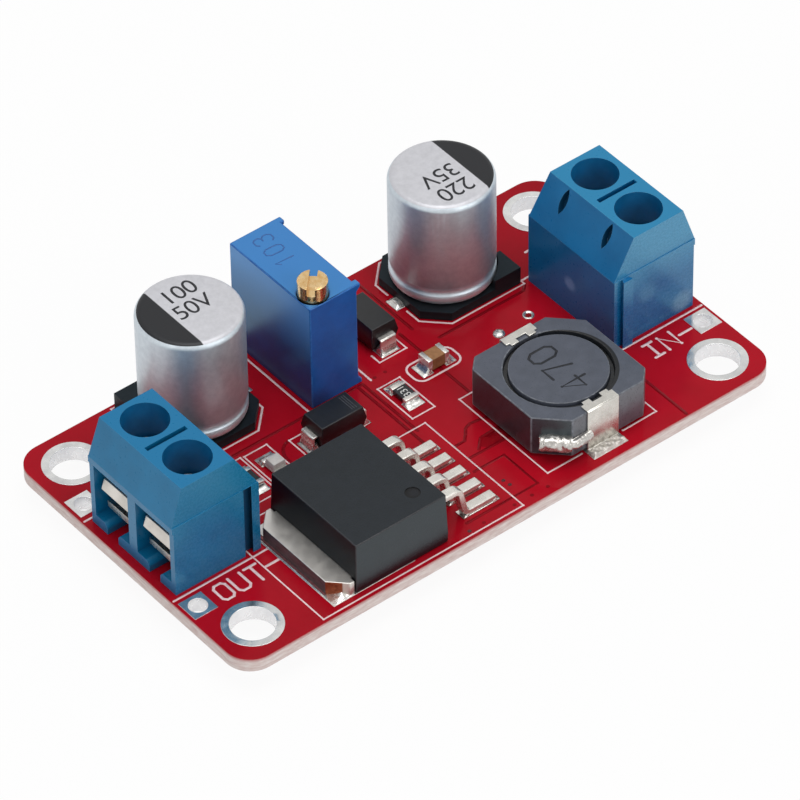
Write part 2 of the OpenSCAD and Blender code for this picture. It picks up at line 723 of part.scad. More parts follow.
// Sheet bent to a tongue under the screw and a lip at the wire entry
module pressure_plate() {
    tongue_end = contact_back - contact_t - plate_back_gap;
    lip_top_z = plate_top_z + plate_lip_h;
    lip_top = plate_lip_inset + plate_lip_lean;
    bend = plate_t / 2;
    color("lightgray")
        across(contact_w)
            polygon([
                [tongue_end, plate_z], [tongue_end, plate_top_z], [plate_lip_inset + plate_t, plate_top_z],
                [lip_top + plate_t, lip_top_z], [lip_top, lip_top_z],
                [plate_lip_inset, plate_z + bend], [plate_lip_inset + bend, plate_z]
            ]);
}

module clamp_screw() {
    edge = clamp_head_h / 5;
    color("gainsboro")
        translate([screw_inset, 0, 0])
            difference() {
                union() {
                    translate([0, 0, screw_tip_z])
                        cylinder(r = clamp_bore_r - thread_play, h = clamp_head_z - screw_tip_z + edge);
                    translate([0, 0, clamp_head_z]) cylinder(d = clamp_head_d, h = clamp_head_h - edge);
                    translate([0, 0, clamp_head_z + clamp_head_h - edge])
                        cylinder(d1 = clamp_head_d, d2 = clamp_head_d - 2 * edge, h = edge);
                }
                translate([-clamp_slot_w / 2, -clamp_head_d, clamp_head_z + clamp_head_h - clamp_slot_depth])
                    cube([clamp_slot_w, 2 * clamp_head_d, clamp_slot_depth + cut]);
            }
}

module output_terminal_housing() {
    at_output_terminal() terminal_housing();
}

module output_terminal_contacts() {
    at_output_terminal() terminal_contacts();
}

module output_minus_plate() {
    at_output_terminal() translate([0, -pole_y, 0]) pressure_plate();
}

module output_plus_plate() {
    at_output_terminal() translate([0, pole_y, 0]) pressure_plate();
}

module output_minus_screw() {
    at_output_terminal() translate([0, -pole_y, 0]) clamp_screw();
}

module output_plus_screw() {
    at_output_terminal() translate([0, pole_y, 0]) clamp_screw();
}

module input_terminal_housing() {
    at_input_terminal() terminal_housing();
}

module input_terminal_contacts() {
    at_input_terminal() terminal_contacts();
}

module input_minus_plate() {
    at_input_terminal() translate([0, pole_y, 0]) pressure_plate();
}

module input_plus_plate() {
    at_input_terminal() translate([0, -pole_y, 0]) pressure_plate();
}

module input_minus_screw() {
    at_input_terminal() translate([0, pole_y, 0]) clamp_screw();
}

module input_plus_screw() {
    at_input_terminal() translate([0, -pole_y, 0]) clamp_screw();
}

// Trimmer

module at_trimmer() {
    translate([trimmer_x, trimmer_y, board_top_z]) children();
}

module at_trimmer_screw() {
    at_trimmer()
        translate([trimmer_screw_inset - trimmer_w / 2, trimmer_screw_inset - trimmer_l / 2, trimmer_h])
            children();
}

module trimmer_housing() {
    face_x = trimmer_w / 2 - lug_h;
    color("royalblue")
        difference() {
            union() {
                at_trimmer() translate([-trimmer_w / 2, -trimmer_l / 2, 0]) {
                    cube([trimmer_w - lug_h, trimmer_l, trimmer_h]);
                }
                at_trimmer()
                    for (sy = [0, 1], sz = [0, 1])
                        mirror([0, sy, 0])
                            translate([face_x, lug_w / 2 - trimmer_l / 2, trimmer_h / 2])
                                mirror([0, 0, sz])
                                    across(lug_w)
                                        polygon([
                                            [0, trimmer_h / 2], [lug_h, trimmer_h / 2],
                                            [lug_h, trimmer_h / 2 - lug_h], [0, trimmer_h / 2 - 2 * lug_h]
                                        ]);
            }
            at_trimmer_screw()
                translate([0, 0, -trimmer_screw_depth - trimmer_play])
                    cylinder(d = trimmer_screw_d + 2 * trimmer_play, h = trimmer_screw_depth + cut);
        }
}

module trimmer_screw() {
    edge = trimmer_slot_w / 5;
    slot_z = trimmer_screw_rise - trimmer_slot_depth;
    color("goldenrod")
        at_trimmer_screw()
            difference() {
                union() {
                    translate([0, 0, -trimmer_screw_depth])
                        cylinder(d = trimmer_screw_d, h = trimmer_screw_depth + trimmer_screw_rise - edge);
                    translate([0, 0, trimmer_screw_rise - edge])
                        cylinder(d1 = trimmer_screw_d, d2 = trimmer_screw_d - 2 * edge, h = edge);
                }
                rotate(trimmer_slot_turn)
                    translate([-trimmer_screw_d, -trimmer_slot_w / 2, slot_z])
                        cube([2 * trimmer_screw_d, trimmer_slot_w, trimmer_slot_depth + cut]);
            }
}

module trimmer_pins() {
    color("silver")
        for (p = trimmer_pins_xy) translate(p) cylinder(d = trimmer_pin_d, h = board_top_z);
}

// Electrolytic capacitors: the chamfered, positive side of the base lies at +X

module at_output_capacitor() {
    translate([output_can_x, can_y, seat_z]) children();
}

module at_input_capacitor() {
    translate([input_can_x, can_y, seat_z]) rotate(180) children();
}

module can_profile() {
    r = can_d / 2;
    foot_z = can_seat_z;
    bead_z = foot_z + can_bead_r;
    neck_z = bead_z + can_bead_r;
    neck_r = can_bead_r;
    difference() {
        union() {
            translate([0, foot_z]) square([r - can_bead_r, can_top_z - foot_z]);
            translate([0, bead_z]) square([r, can_top_z - can_edge_r - bead_z]);
            translate([0, bead_z]) square([r - can_edge_r, can_top_z - bead_z]);
            translate([r - can_bead_r, bead_z]) circle(can_bead_r);
            translate([r - can_edge_r, can_top_z - can_edge_r]) circle(can_edge_r);
        }
        translate([r - can_neck_depth + neck_r, neck_z + can_bead_r / 2]) circle(neck_r);
    }
}

module capacitor_can() {
    color("lightgray") rotate_extrude() can_profile();
}

module capacitor_base() {
    s = base_side / 2;
    c = base_chamfer;
    groove_w = cap_lead_w + 2 * base_can_gap;
    color("dimgray")
        difference() {
            union() {
                linear_extrude(can_seat_z)
                    polygon([[-s, -s], [s - c, -s], [s, c - s], [s, s - c], [s - c, s], [-s, s]]);
                linear_extrude(base_h)
                    difference() {
                        for (side = [0, 1])
                            mirror([0, side]) translate([-s, -s]) square(base_corner_l);
                        circle(can_d / 2 + base_can_gap);
                    }
            }
            for (side = [0, 180])
                rotate(side) {
                    translate([cap_lead_root - cap_lead_w / 2, -groove_w / 2, -cut])
                        cube([base_side, groove_w, cap_lead_t + cut]);
                    translate([cap_lead_root, 0, -cut]) cylinder(d = cap_lead_w, h = can_seat_z + 2 * cut);
                }
        }
}

module capacitor_leads() {
    upright_d = cap_lead_w - 2 * base_can_gap;
    color("silver")
        for (side = [0, 180])
            rotate(side) {
                translate([cap_lead_root - upright_d / 2, -cap_lead_w / 2, 0])
                    cube([cap_lead_end - cap_lead_root + upright_d / 2, cap_lead_w, cap_lead_t]);
                translate([cap_lead_root, 0, 0]) cylinder(d = upright_d, h = can_seat_z);
            }
}

module output_capacitor_can() {
    at_output_capacitor() capacitor_can();
}

module output_capacitor_base() {
    at_output_capacitor() capacitor_base();
}

module output_capacitor_leads() {
    at_output_capacitor() capacitor_leads();
}

module input_capacitor_can() {
    at_input_capacitor() capacitor_can();
}

module input_capacitor_base() {
    at_input_capacitor() capacitor_base();
}

module input_capacitor_leads() {
    at_input_capacitor() capacitor_leads();
}

// Regulator: the heat tab lies at -X, the leads leave at +X

module at_regulator() {
    translate([regulator_x, regulator_y, seat_z]) children();
}

module tab_block() {
    tab_end = -regulator_l / 2 - tab_out;
    step_x = -regulator_l / 2 - tab_gap;
    inner = tab_w / 2 - tab_step;
    linear_extrude(tab_t)
        polygon([
            [tab_in - regulator_l / 2, -inner], [tab_in - regulator_l / 2, inner], [step_x, inner],
            [step_x, tab_w / 2], [tab_end + tab_chamfer, tab_w / 2], [tab_end, tab_w / 2 - tab_chamfer],
            [tab_end, tab_chamfer - tab_w / 2], [tab_end + tab_chamfer, -tab_w / 2],
            [step_x, -tab_w / 2], [step_x, -inner]
        ]);
}

// Points on an arc about a middle, from one angle to another
function arc_points(middle, r, start, end) =
    [for (k = [0:6]) middle + r * [cos(start + (end - start) * k / 6), sin(start + (end - start) * k / 6)]];

// Gull-wing lead from inside the body to the end of its foot
module regulator_lead() {
    x0 = regulator_l / 2 - lead_in;
    outer_r = lead_bend_r + lead_t;
    shoulder_bend = [regulator_l / 2 + shoulder_l, lead_exit_z - outer_r];
    foot_bend = [lead_foot_end - foot_l, outer_r];
    across(lead_w)
        polygon(concat(
            [[x0, lead_exit_z]],
            arc_points(shoulder_bend, outer_r, 90, 90 - lead_slant),
            arc_points(foot_bend, lead_bend_r, 270 - lead_slant, 270),
            [[lead_foot_end, lead_t], [lead_foot_end, 0]],
            arc_points(foot_bend, outer_r, 270, 270 - lead_slant),
            arc_points(shoulder_bend, lead_bend_r, 90 - lead_slant, 90),
            [[x0, lead_exit_z - lead_t]]
        ));
}

module lead_row() {
    for (k = [-2:2]) translate([0, k * lead_pitch, 0]) regulator_lead();
}

module regulator_body() {
    dimple_x = regulator_l / 2 - 1.5 * dimple_d;
    dimple_y = -regulator_w / 2 + 1.6 * dimple_d;
    color("#2b2d33")
        at_regulator()
            difference() {
                moulded_block(regulator_l, regulator_w, regulator_h, regulator_mould_z, regulator_draft);
                tab_block();
                lead_row();
                translate([dimple_x, dimple_y, regulator_h - dimple_depth]) cylinder(d = dimple_d, h = cut);
            }
}

module regulator_tab() {
    color("silver") at_regulator() tab_block();
}

module regulator_leads() {
    color("silver") at_regulator() lead_row();
}

// Inductor

module at_inductor() {
    translate([inductor_x, inductor_y, seat_z]) children();
}

module shield_plan() {
    s = shield_side / 2;
    c = shield_chamfer;
    small = shield_small_chamfer;
    polygon([
        [c - s, -s], [s - small, -s], [s, small - s], [s, s - c],
        [s - c, s], [small - s, s], [-s, s - small], [-s, c - s]
    ]);
}

module inductor_shield() {
    color("dimgray")
        at_inductor()
            translate([0, 0, shield_lift])
                linear_extrude(shield_h)
                    difference() {
                        shield_plan();
                        circle(d = shield_bore_d);
                    }
}

module inductor_drum() {
    core_h = shield_h - 2 * drum_flange_t;
    color("slategray")
        at_inductor()
            translate([0, 0, shield_lift]) {
                cylinder(d = drum_d, h = drum_flange_t);
                translate([0, 0, drum_flange_t]) cylinder(d = drum_core_d, h = core_h);
                translate([0, 0, drum_flange_t + core_h]) cylinder(d = drum_d, h = drum_flange_t);
            }
}

module inductor_winding() {
    winding_h = shield_h - 2 * drum_flange_t - 2 * winding_gap;
    color("peru")
        at_inductor()
            translate([0, 0, shield_lift + drum_flange_t + winding_gap])
                difference() {
                    cylinder(d = winding_d, h = winding_h);
                    translate([0, 0, -cut])
                        cylinder(d = drum_core_d + 2 * winding_gap, h = winding_h + 2 * cut);
                }
}

// Ring of glue between the drum's upper flange and the shield
module inductor_glue() {
    color("black")
        at_inductor()
            translate([0, 0, shield_lift + shield_h - glue_depth - glue_h])
                difference() {
                    cylinder(d = shield_bore_d - 2 * glue_gap, h = glue_h);
                    translate([0, 0, -cut]) cylinder(d = drum_d + 2 * glue_gap, h = glue_h + 2 * cut);
                }
}

// Clip on the shield's side at -Y: a notched top, an upright, a foot that turns out, and a hook for the
// wire end
module inductor_clip() {
    s = shield_side / 2;
    top_z = shield_lift + shield_h;
    chamfer_x = shield_chamfer - s;
    hook_bend = clip_t * tan(22.5);
    bend = 0.6 * clip_t;
    difference() {
        translate([-clip_w / 2, 0, 0]) rotate([90, 0, 90])
            linear_extrude(clip_w)
                polygon([
                    [clip_top_l - s, top_z], [clip_top_l - s, top_z + clip_t],
                    [bend - s - clip_t, top_z + clip_t], [-s - clip_t, top_z + clip_t - bend],
                    [-s - clip_t, clip_t], [-s - clip_t - clip_foot_l, clip_t],
                    [-s - clip_t - clip_foot_l, 0], [-s, 0], [-s, top_z]
                ]);
        translate([-clip_notch_w / 2, clip_top_l - s - clip_notch_depth, top_z - cut])
            cube([clip_notch_w, clip_notch_depth + cut, clip_t + 2 * cut]);
        for (side = [-1, 1])
            translate([side * clip_w / 2 - clip_step, clip_top_l - s - clip_step, top_z - cut])
                cube([2 * clip_step, clip_step + cut, clip_t + 2 * cut]);
    }
    translate([0, 0, hook_z])
        linear_extrude(hook_h)
            polygon([
                [-clip_w / 2, -s], [-clip_w / 2, -s - clip_t], [chamfer_x - hook_bend, -s - clip_t],
                [chamfer_x - hook_bend - hook_run, hook_run - s - clip_t],
                [chamfer_x - hook_run, hook_run - s], [chamfer_x, -s]
            ]);
}

module inductor_clips() {
    color("silver")
        at_inductor() {
            inductor_clip();
            rotate(180) inductor_clip();
        }
}

// Diodes: the body lies along X

module at_rectifier() {
    translate([rectifier_x, rectifier_y, seat_z]) children();
}

module at_input_diode() {
    translate([input_diode_x, input_diode_y, seat_z]) rotate(90) children();
}

// Lead that leaves the body at its mould line and folds under it
module diode_lead() {
    x0 = diode_l / 2 - diode_lead_in;
    x1 = diode_end;
    mid_z = diode_lift + diode_mould_z;
    t = diode_lead_t;
    across(diode_lead_w)
        polygon([
            [x0, mid_z - t / 2], [x1 - t, mid_z - t / 2], [x1 - t, t], [x1 - diode_foot_l, t],
            [x1 - diode_foot_l, 0], [x1, 0], [x1, mid_z], [x1 - t / 2, mid_z + t / 2], [x0, mid_z + t / 2]
        ]);
}

module diode_leads() {
    color("silver")
        for (side = [0, 180]) rotate(side) diode_lead();
}

module diode_body() {
    color("#26282c")
        difference() {
            translate([0, 0, diode_lift])
                moulded_block(diode_l, diode_w, diode_h, diode_mould_z, diode_draft);
            for (side = [0, 180]) rotate(side) diode_lead();
        }
}

module rectifier_diode_body() {
    at_rectifier() diode_body();
}

module rectifier_diode_leads() {
    at_rectifier() diode_leads();
}

module input_diode_body() {
    at_input_diode() diode_body();
}

module input_diode_leads() {
    at_input_diode() diode_leads();
}

// Chips: the body lies along X, and a cap wraps each end

module at_chip_row(x) {
    translate([x, chip_row_y, seat_z]) rotate(90) children();
}

module at_ceramic() {
    translate([ceramic_x, ceramic_y, seat_z]) children();
}

module chip_body(h) {
    t = chip_end_t;
    translate([t - chip_l / 2, t - chip_w / 2, t]) cube([chip_l - 2 * t, chip_w - 2 * t, h - 2 * t]);
}

module chip_ends(h) {
    color("silver")
        difference() {
            for (side = [0, 180])
                rotate(side)
                    translate([chip_l / 2 - chip_end_l, -chip_w / 2, 0]) cube([chip_end_l, chip_w, h]);
            chip_body(h);
        }
}

module feedback_resistor_body() {
    color("black") at_chip_row(feedback_x) chip_body(resistor_h);
}

module feedback_resistor_ends() {
    at_chip_row(feedback_x) chip_ends(resistor_h);
}

module led_resistor_body() {
    color("black") at_chip_row(led_resistor_x) chip_body(resistor_h);
}

module led_resistor_ends() {
    at_chip_row(led_resistor_x) chip_ends(resistor_h);
}

module ceramic_capacitor_body() {
    color("rosybrown") at_ceramic() chip_body(ceramic_h);
}

module ceramic_capacitor_ends() {
    at_ceramic() chip_ends(ceramic_h);
}

module indicator_led_base() {
    color("whitesmoke") at_chip_row(led_x) chip_body(led_base_h);
}

module indicator_led_ends() {
    at_chip_row(led_x) chip_ends(led_base_h);
}

module indicator_led_lens() {
    lens_l = chip_l - 2 * chip_end_l - 2 * chip_end_t;
    color("honeydew")
        at_chip_row(led_x)
            translate([0, 0, led_base_h - chip_end_t])
                moulded_block(lens_l, chip_w - 2 * chip_end_t, led_lens_h, chip_end_t, 2 * chip_end_t);
}

circuit_board();
mounting_hole_plating();
wire_pads();
component_pads();
pin_solder();
output_terminal_housing();
output_terminal_contacts();
output_minus_plate();
output_plus_plate();
output_minus_screw();
output_plus_screw();
input_terminal_housing();
input_terminal_contacts();
input_minus_plate();
input_plus_plate();
input_minus_screw();
input_plus_screw();
trimmer_housing();
trimmer_screw();
trimmer_pins();
output_capacitor_can();
output_capacitor_base();
output_capacitor_leads();
input_capacitor_can();
input_capacitor_base();
input_capacitor_leads();
regulator_body();
regulator_tab();
regulator_leads();
inductor_shield();
inductor_drum();
inductor_winding();
inductor_glue();
inductor_clips();
rectifier_diode_body();
rectifier_diode_leads();
input_diode_body();
input_diode_leads();
feedback_resistor_body();
feedback_resistor_ends();
led_resistor_body();
led_resistor_ends();
ceramic_capacitor_body();
ceramic_capacitor_ends();
indicator_led_base();
indicator_led_lens();
indicator_led_ends();
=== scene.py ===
import json
import math

import bmesh
import bpy
from mathutils import Matrix, Vector


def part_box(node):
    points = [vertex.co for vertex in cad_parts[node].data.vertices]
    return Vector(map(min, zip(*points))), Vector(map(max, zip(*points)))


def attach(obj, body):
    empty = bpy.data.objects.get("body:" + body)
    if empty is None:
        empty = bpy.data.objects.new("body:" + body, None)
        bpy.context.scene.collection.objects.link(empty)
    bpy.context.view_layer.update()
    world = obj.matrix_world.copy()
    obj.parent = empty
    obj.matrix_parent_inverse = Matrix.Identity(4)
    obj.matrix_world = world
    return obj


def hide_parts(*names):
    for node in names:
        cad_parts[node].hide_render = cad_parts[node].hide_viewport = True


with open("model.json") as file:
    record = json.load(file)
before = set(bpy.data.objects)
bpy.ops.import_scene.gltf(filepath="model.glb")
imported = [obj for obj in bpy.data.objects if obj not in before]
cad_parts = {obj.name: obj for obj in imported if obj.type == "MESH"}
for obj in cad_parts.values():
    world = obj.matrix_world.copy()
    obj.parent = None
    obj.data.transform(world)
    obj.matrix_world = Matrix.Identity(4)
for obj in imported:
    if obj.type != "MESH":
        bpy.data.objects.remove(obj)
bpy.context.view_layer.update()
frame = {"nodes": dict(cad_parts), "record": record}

# The white sweep that the module stands on, and the lamps of a small light tent: one broad box overhead, one
# in front on the right-hand side and a weak one on the left. The tent's walls are white and its roof is
# dimmer, which is what the glossy pieces reflect. The camera is a long lens well above.
scene = bpy.context.scene
scene.view_settings.view_transform = "Standard"


def placed(name, data):
    """A new object in the scene, at the origin."""
    piece = bpy.data.objects.new(name, data)
    scene.collection.objects.link(piece)
    return piece


def add_node(tree, kind, feeds, **settings):
    """A new node of a tree. `feeds` gives inputs, by label or number, a node, a socket or a value each."""
    node = tree.nodes.new(kind)
    for key, value in settings.items():
        setattr(node, key, value)
    for label, feed in feeds.items():
        if isinstance(feed, bpy.types.Node):
            feed = feed.outputs[0]
        if isinstance(feed, bpy.types.NodeSocket):
            tree.links.new(feed, node.inputs[label])
        else:
            node.inputs[label].default_value = feed
    return node


def maths(tree, operation, *terms):
    """The result of a Math node."""
    return add_node(tree, "ShaderNodeMath", dict(enumerate(terms)), operation=operation).outputs[0]


def ranged(tree, value, start, stop, low=0.0, high=1.0, easing="LINEAR"):
    """`value` carried over from the span start..stop to the span low..high."""
    feeds = {"Value": value, "From Min": start, "From Max": stop, "To Min": low, "To Max": high}
    return add_node(tree, "ShaderNodeMapRange", feeds, interpolation_type=easing).outputs[0]


def blended(tree, share, lit, seen, output):
    """Ends a tree in the shader `lit`, in whose place camera, glossy and transmitted rays see a share of
    `seen`."""
    path = tree.nodes.new("ShaderNodeLightPath")
    most = path.outputs["Is Camera Ray"]
    for kind in ("Is Glossy Ray", "Is Transmission Ray"):
        most = maths(tree, "MAXIMUM", most, path.outputs[kind])
    blend = add_node(tree, "ShaderNodeMixShader", {0: maths(tree, "MULTIPLY", most, share), 1: lit, 2: seen})
    add_node(tree, output, {0: blend})


sweep_half = 1.5
sweep_mesh = bpy.data.meshes.new("sweep")
sweep_mesh.from_pydata(
    [(-sweep_half, -sweep_half, 0), (sweep_half, -sweep_half, 0), (sweep_half, sweep_half, 0),
     (-sweep_half, sweep_half, 0)], [], [(0, 1, 2, 3)])
sweep = placed("sweep", sweep_mesh)
sweep_paint = bpy.data.materials.new("sweep_paint")
sweep_paint.use_nodes = True
tree = sweep_paint.node_tree
tree.nodes.clear()
matt = add_node(tree, "ShaderNodeBsdfDiffuse", {"Color": (0.88, 0.88, 0.88, 1)})
glow = add_node(tree, "ShaderNodeEmission", {"Strength": 1.0})
blended(tree, 0.94, matt, glow, "ShaderNodeOutputMaterial")
sweep_mesh.materials.append(sweep_paint)

world = bpy.data.worlds.new("tent")
scene.world = world
world.use_nodes = True
tree = world.node_tree
tree.nodes.clear()
ambient = add_node(tree, "ShaderNodeBackground", {"Color": (1, 1, 1, 1), "Strength": 0.38})
aim = tree.nodes.new("ShaderNodeTexCoord")
height = add_node(tree, "ShaderNodeSeparateXYZ", {0: aim.outputs["Generated"]}).outputs["Z"]
wall_end, roof_start, wall_white, roof_white = 0.05, 0.55, 1.0, 0.78
walls = ranged(tree, height, wall_end, roof_start, wall_white, roof_white)
white = add_node(tree, "ShaderNodeBackground", {"Color": (1, 1, 1, 1), "Strength": walls})
blended(tree, 1.0, ambient, white, "ShaderNodeOutputWorld")

lamp_target = Vector((0, 0, 0.006))
for name, spot, wide, deep, watts in (
    ("overhead_box", (0.02, -0.02, 0.70), 0.55, 0.55, 2.6),
    ("front_box", (0.10, -0.66, 0.36), 0.40, 0.35, 1.2),
    ("left_card", (-0.60, -0.12, 0.30), 0.30, 0.30, 0.35),
):
    lamp = bpy.data.lights.new(name, "AREA")
    lamp.shape = "RECTANGLE"
    lamp.size = wide
    lamp.size_y = deep
    lamp.energy = watts
    holder = placed(name, lamp)
    holder.location = spot
    holder.rotation_euler = (lamp_target - Vector(spot)).to_track_quat("-Z", "Y").to_euler()
    holder.visible_camera = False

lens = bpy.data.cameras.new("long_lens")
lens.sensor_fit = "HORIZONTAL"
lens.sensor_width = 36
lens.lens = 309.83
lens.clip_start = 0.05
lens.clip_end = 10
back = Vector((-0.45129, -0.57569, 0.68185)).normalized()
right = Vector((0.77976, -0.62595, -0.01241))
right = (right - back * right.dot(back)).normalized()
pose = Matrix((right, back.cross(right), back)).transposed().to_4x4()
pose.translation = (-0.23263, -0.29709, 0.35599)
camera = placed("long_lens", lens)
camera.matrix_world = pose
scene.camera = camera

# Circuit board: 1.2 mm glass-fibre laminate with copper on both faces under a glossy crimson solder mask. It
# is routed to its outline, so the bare pale laminate shows round the rim and inside the holes.
MM = 0.001
sharp_angle = math.radians(28)
flat_angle = math.radians(0.8)
merge_gap = 2e-6
crease_slack = 0.02
cloud_band = (0.32, 0.68)
grit_band = (0.3, 0.7)
mix_under, mix_over, mix_colour = 6, 7, 2  # numbers of a Mix node's colour sockets


def tone(code):
    """A hex colour as the linear values that a shader takes."""
    parts = [int(code[i:i + 2], 16) / 255 for i in (1, 3, 5)]
    return tuple(c / 12.92 if c <= 0.04045 else ((c + 0.055) / 1.055) ** 2.4 for c in parts) + (1.0,)


def surface(name, dark, light, cloud, rough, grit, dent, metal=0.0, gloss=0.5, stretch=(1, 1, 1),
            sheen=(1, 1, 1)):
    """Finish with clouds of two tones `cloud` mm wide, and a grit `grit` mm wide that varies its roughness
    and, by `dent` mm, its level. `stretch` packs both closer along each axis, and `sheen` tints what it
    reflects."""
    made = bpy.data.materials.new(name)
    made.use_nodes = True
    tree = made.node_tree
    tree.nodes.clear()
    place = add_node(tree, "ShaderNodeTexCoord", {}, name="place")
    pull = add_node(tree, "ShaderNodeMapping", {"Vector": place.outputs["Object"], "Scale": stretch})
    clouds = add_node(tree, "ShaderNodeTexNoise", {
        "Vector": pull, "Scale": 1 / (cloud * MM), "Detail": 4, "Roughness": 0.6}, name="clouds")
    two = add_node(tree, "ShaderNodeValToRGB", {"Fac": clouds.outputs["Fac"]})
    for stop, at, code in zip(two.color_ramp.elements, cloud_band, (dark, light)):
        stop.position = at
        stop.color = tone(code)
    fine = add_node(tree, "ShaderNodeTexNoise", {"Vector": pull, "Scale": 1 / (grit * MM), "Detail": 3})
    fine = fine.outputs["Fac"]
    level = add_node(tree, "ShaderNodeBump", {"Strength": 1.0, "Distance": dent * MM, "Height": fine})
    skin = add_node(tree, "ShaderNodeBsdfPrincipled", {
        "Base Color": two, "Roughness": ranged(tree, fine, *grit_band, *rough), "Normal": level,
        "Metallic": metal, "Specular IOR Level": gloss, "Specular Tint": sheen + (1,)}, name="skin")
    add_node(tree, "ShaderNodeOutputMaterial", {0: skin})
    return made


def overlay(finish, tint, mask):
    """Lays a second colour over a finish where `mask` is 1."""
    tree = finish.node_tree
    base = tree.nodes["skin"].inputs["Base Color"]
    feeds = {"Factor": mask, mix_under: base.links[0].from_socket, mix_over: tone(tint)}
    lay = add_node(tree, "ShaderNodeMix", feeds, data_type="RGBA")
    tree.links.new(lay.outputs[mix_colour], base)


def beyond(finish, axis, at, soft, sign=1):
    """1 where the piece lies past `at` mm along an axis, 0 before it. The sign -1 turns that round."""
    tree = finish.node_tree
    split = add_node(tree, "ShaderNodeSeparateXYZ", {0: tree.nodes["place"].outputs["Object"]})
    return ranged(tree, split.outputs[axis], (at - sign * soft) * MM, (at + sign * soft) * MM)


def settle(piece):
    """Applies a piece's modifiers to its mesh."""
    graph = bpy.context.evaluated_depsgraph_get()
    mesh = bpy.data.meshes.new_from_object(piece.evaluated_get(graph))
    piece.modifiers.clear()
    piece.data = mesh
    mesh.name = piece.name
    return mesh


def smoothed(mesh, angle):
    """Shades a mesh smooth, apart from the edges that turn by more than `angle` degrees."""
    mesh.polygons.foreach_set("use_smooth", [True] * len(mesh.polygons))
    mesh.set_sharp_from_angle(angle=math.radians(angle))


def eased(node, name, ease, finishes, choose=None, worn=None, segments=2, smooth=50, reshape=None,
          crease=None, plain=None):
    """A copy of a CAD piece with its edges broken by `ease` mm. It stands for the piece and rides with it.
    `choose` gives a face's finish from its middle and normal, and `worn` is the finish of the broken edges.
    `reshape` changes the merged shape, edges that lie at the height `crease` mm stay sharp, and edges whose
    middle `plain` picks aren't broken."""
    mesh = frame["nodes"][node].data.copy()
    mesh.name = name
    mesh.materials.clear()
    for finish in finishes:
        mesh.materials.append(finish)
    build = bmesh.new()
    build.from_mesh(mesh)
    bmesh.ops.remove_doubles(build, verts=build.verts, dist=merge_gap)
    bmesh.ops.dissolve_limit(build, angle_limit=flat_angle, verts=build.verts, edges=build.edges)
    if reshape:
        reshape(build)
    build.normal_update()
    for face in build.faces:
        face.material_index = choose(face.calc_center_median() / MM, face.normal) if choose else 0
    if plain:
        weight = build.edges.layers.float.new("bevel_weight_edge")
        for edge in build.edges:
            middle = (edge.verts[0].co + edge.verts[1].co) / 2 / MM
            broken = edge.calc_face_angle(0) > sharp_angle and not plain(middle)
            edge[weight] = 1.0 if broken else 0.0
    build.to_mesh(mesh)
    build.free()
    piece = placed(name, mesh)
    if ease:
        bevel = piece.modifiers.new("ease", "BEVEL")
        bevel.width = ease * MM
        bevel.segments = segments
        bevel.limit_method = "WEIGHT" if plain else "ANGLE"
        bevel.angle_limit = sharp_angle
        bevel.material = -1 if worn is None else worn
        mesh = settle(piece)
    smoothed(mesh, smooth)
    if crease:
        for edge in mesh.edges:
            if all(abs(mesh.vertices[v].co.z / MM - crease) < crease_slack for v in edge.vertices):
                edge.use_edge_sharp = True
    if ease:
        piece.modifiers.new("even", "WEIGHTED_NORMAL").keep_sharp = True
        settle(piece)
    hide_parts(node)
    body = next(b for b, members in frame["record"]["behaviour"]["bodies"].items() if node in members)
    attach(piece, body)


def wall_face(middle, normal):
    """1 on a wall, 0 on a level face."""
    return 0 if abs(normal.z) > 0.5 else 1


mask_red = surface("solder_mask", "#9c0b1b", "#b20f22", 9, (0.14, 0.22), 0.5, 0.003, gloss=0.1)
laminate = surface("bare_laminate", "#d2bab5", "#ebe0dc", 0.35, (0.6, 0.8), 0.12, 0.02, gloss=0.3,
                   stretch=(0.35, 0.35, 2.0))
overlay(laminate, "#bb6c6c", beyond(laminate, "Z", 2.93, 0.14))
eased("circuit_board", "board", 0.05, [mask_red, laminate], choose=wall_face)

# Copper layout under the mask: the gaps that were etched between the copper fields show as darker, lower
# lines, and small tented vias show as dots. They are swept here as hairline strokes on the board's face.
board_top = 3.1
line_lift, point_lift = 0.0015, 0.0004
dot_sides, dot_depth = 12, 1.2


def node_sheet(title, inputs, output):
    """A Geometry Nodes group with its sockets: the group, the keys of its inputs and its input node."""
    sheet = bpy.data.node_groups.new(title, "GeometryNodeTree")
    keys = {}
    for label, kind in inputs:
        made = sheet.interface.new_socket(label, in_out="INPUT", socket_type="NodeSocket" + kind)
        keys[label] = made.identifier
    sheet.interface.new_socket(output, in_out="OUTPUT", socket_type="NodeSocketGeometry")
    return sheet, keys, sheet.nodes.new("NodeGroupInput")


def swept(name, points, pairs, sheet, keys, values):
    """A piece that a Geometry Nodes group makes of points in metres joined by lines."""
    mesh = bpy.data.meshes.new(name)
    mesh.from_pydata(points, pairs, [])
    piece = placed(name, mesh)
    making = piece.modifiers.new("making", "NODES")
    making.node_group = sheet
    for label, value in values.items():
        making[keys[label]] = value
    settle(piece)
    return piece


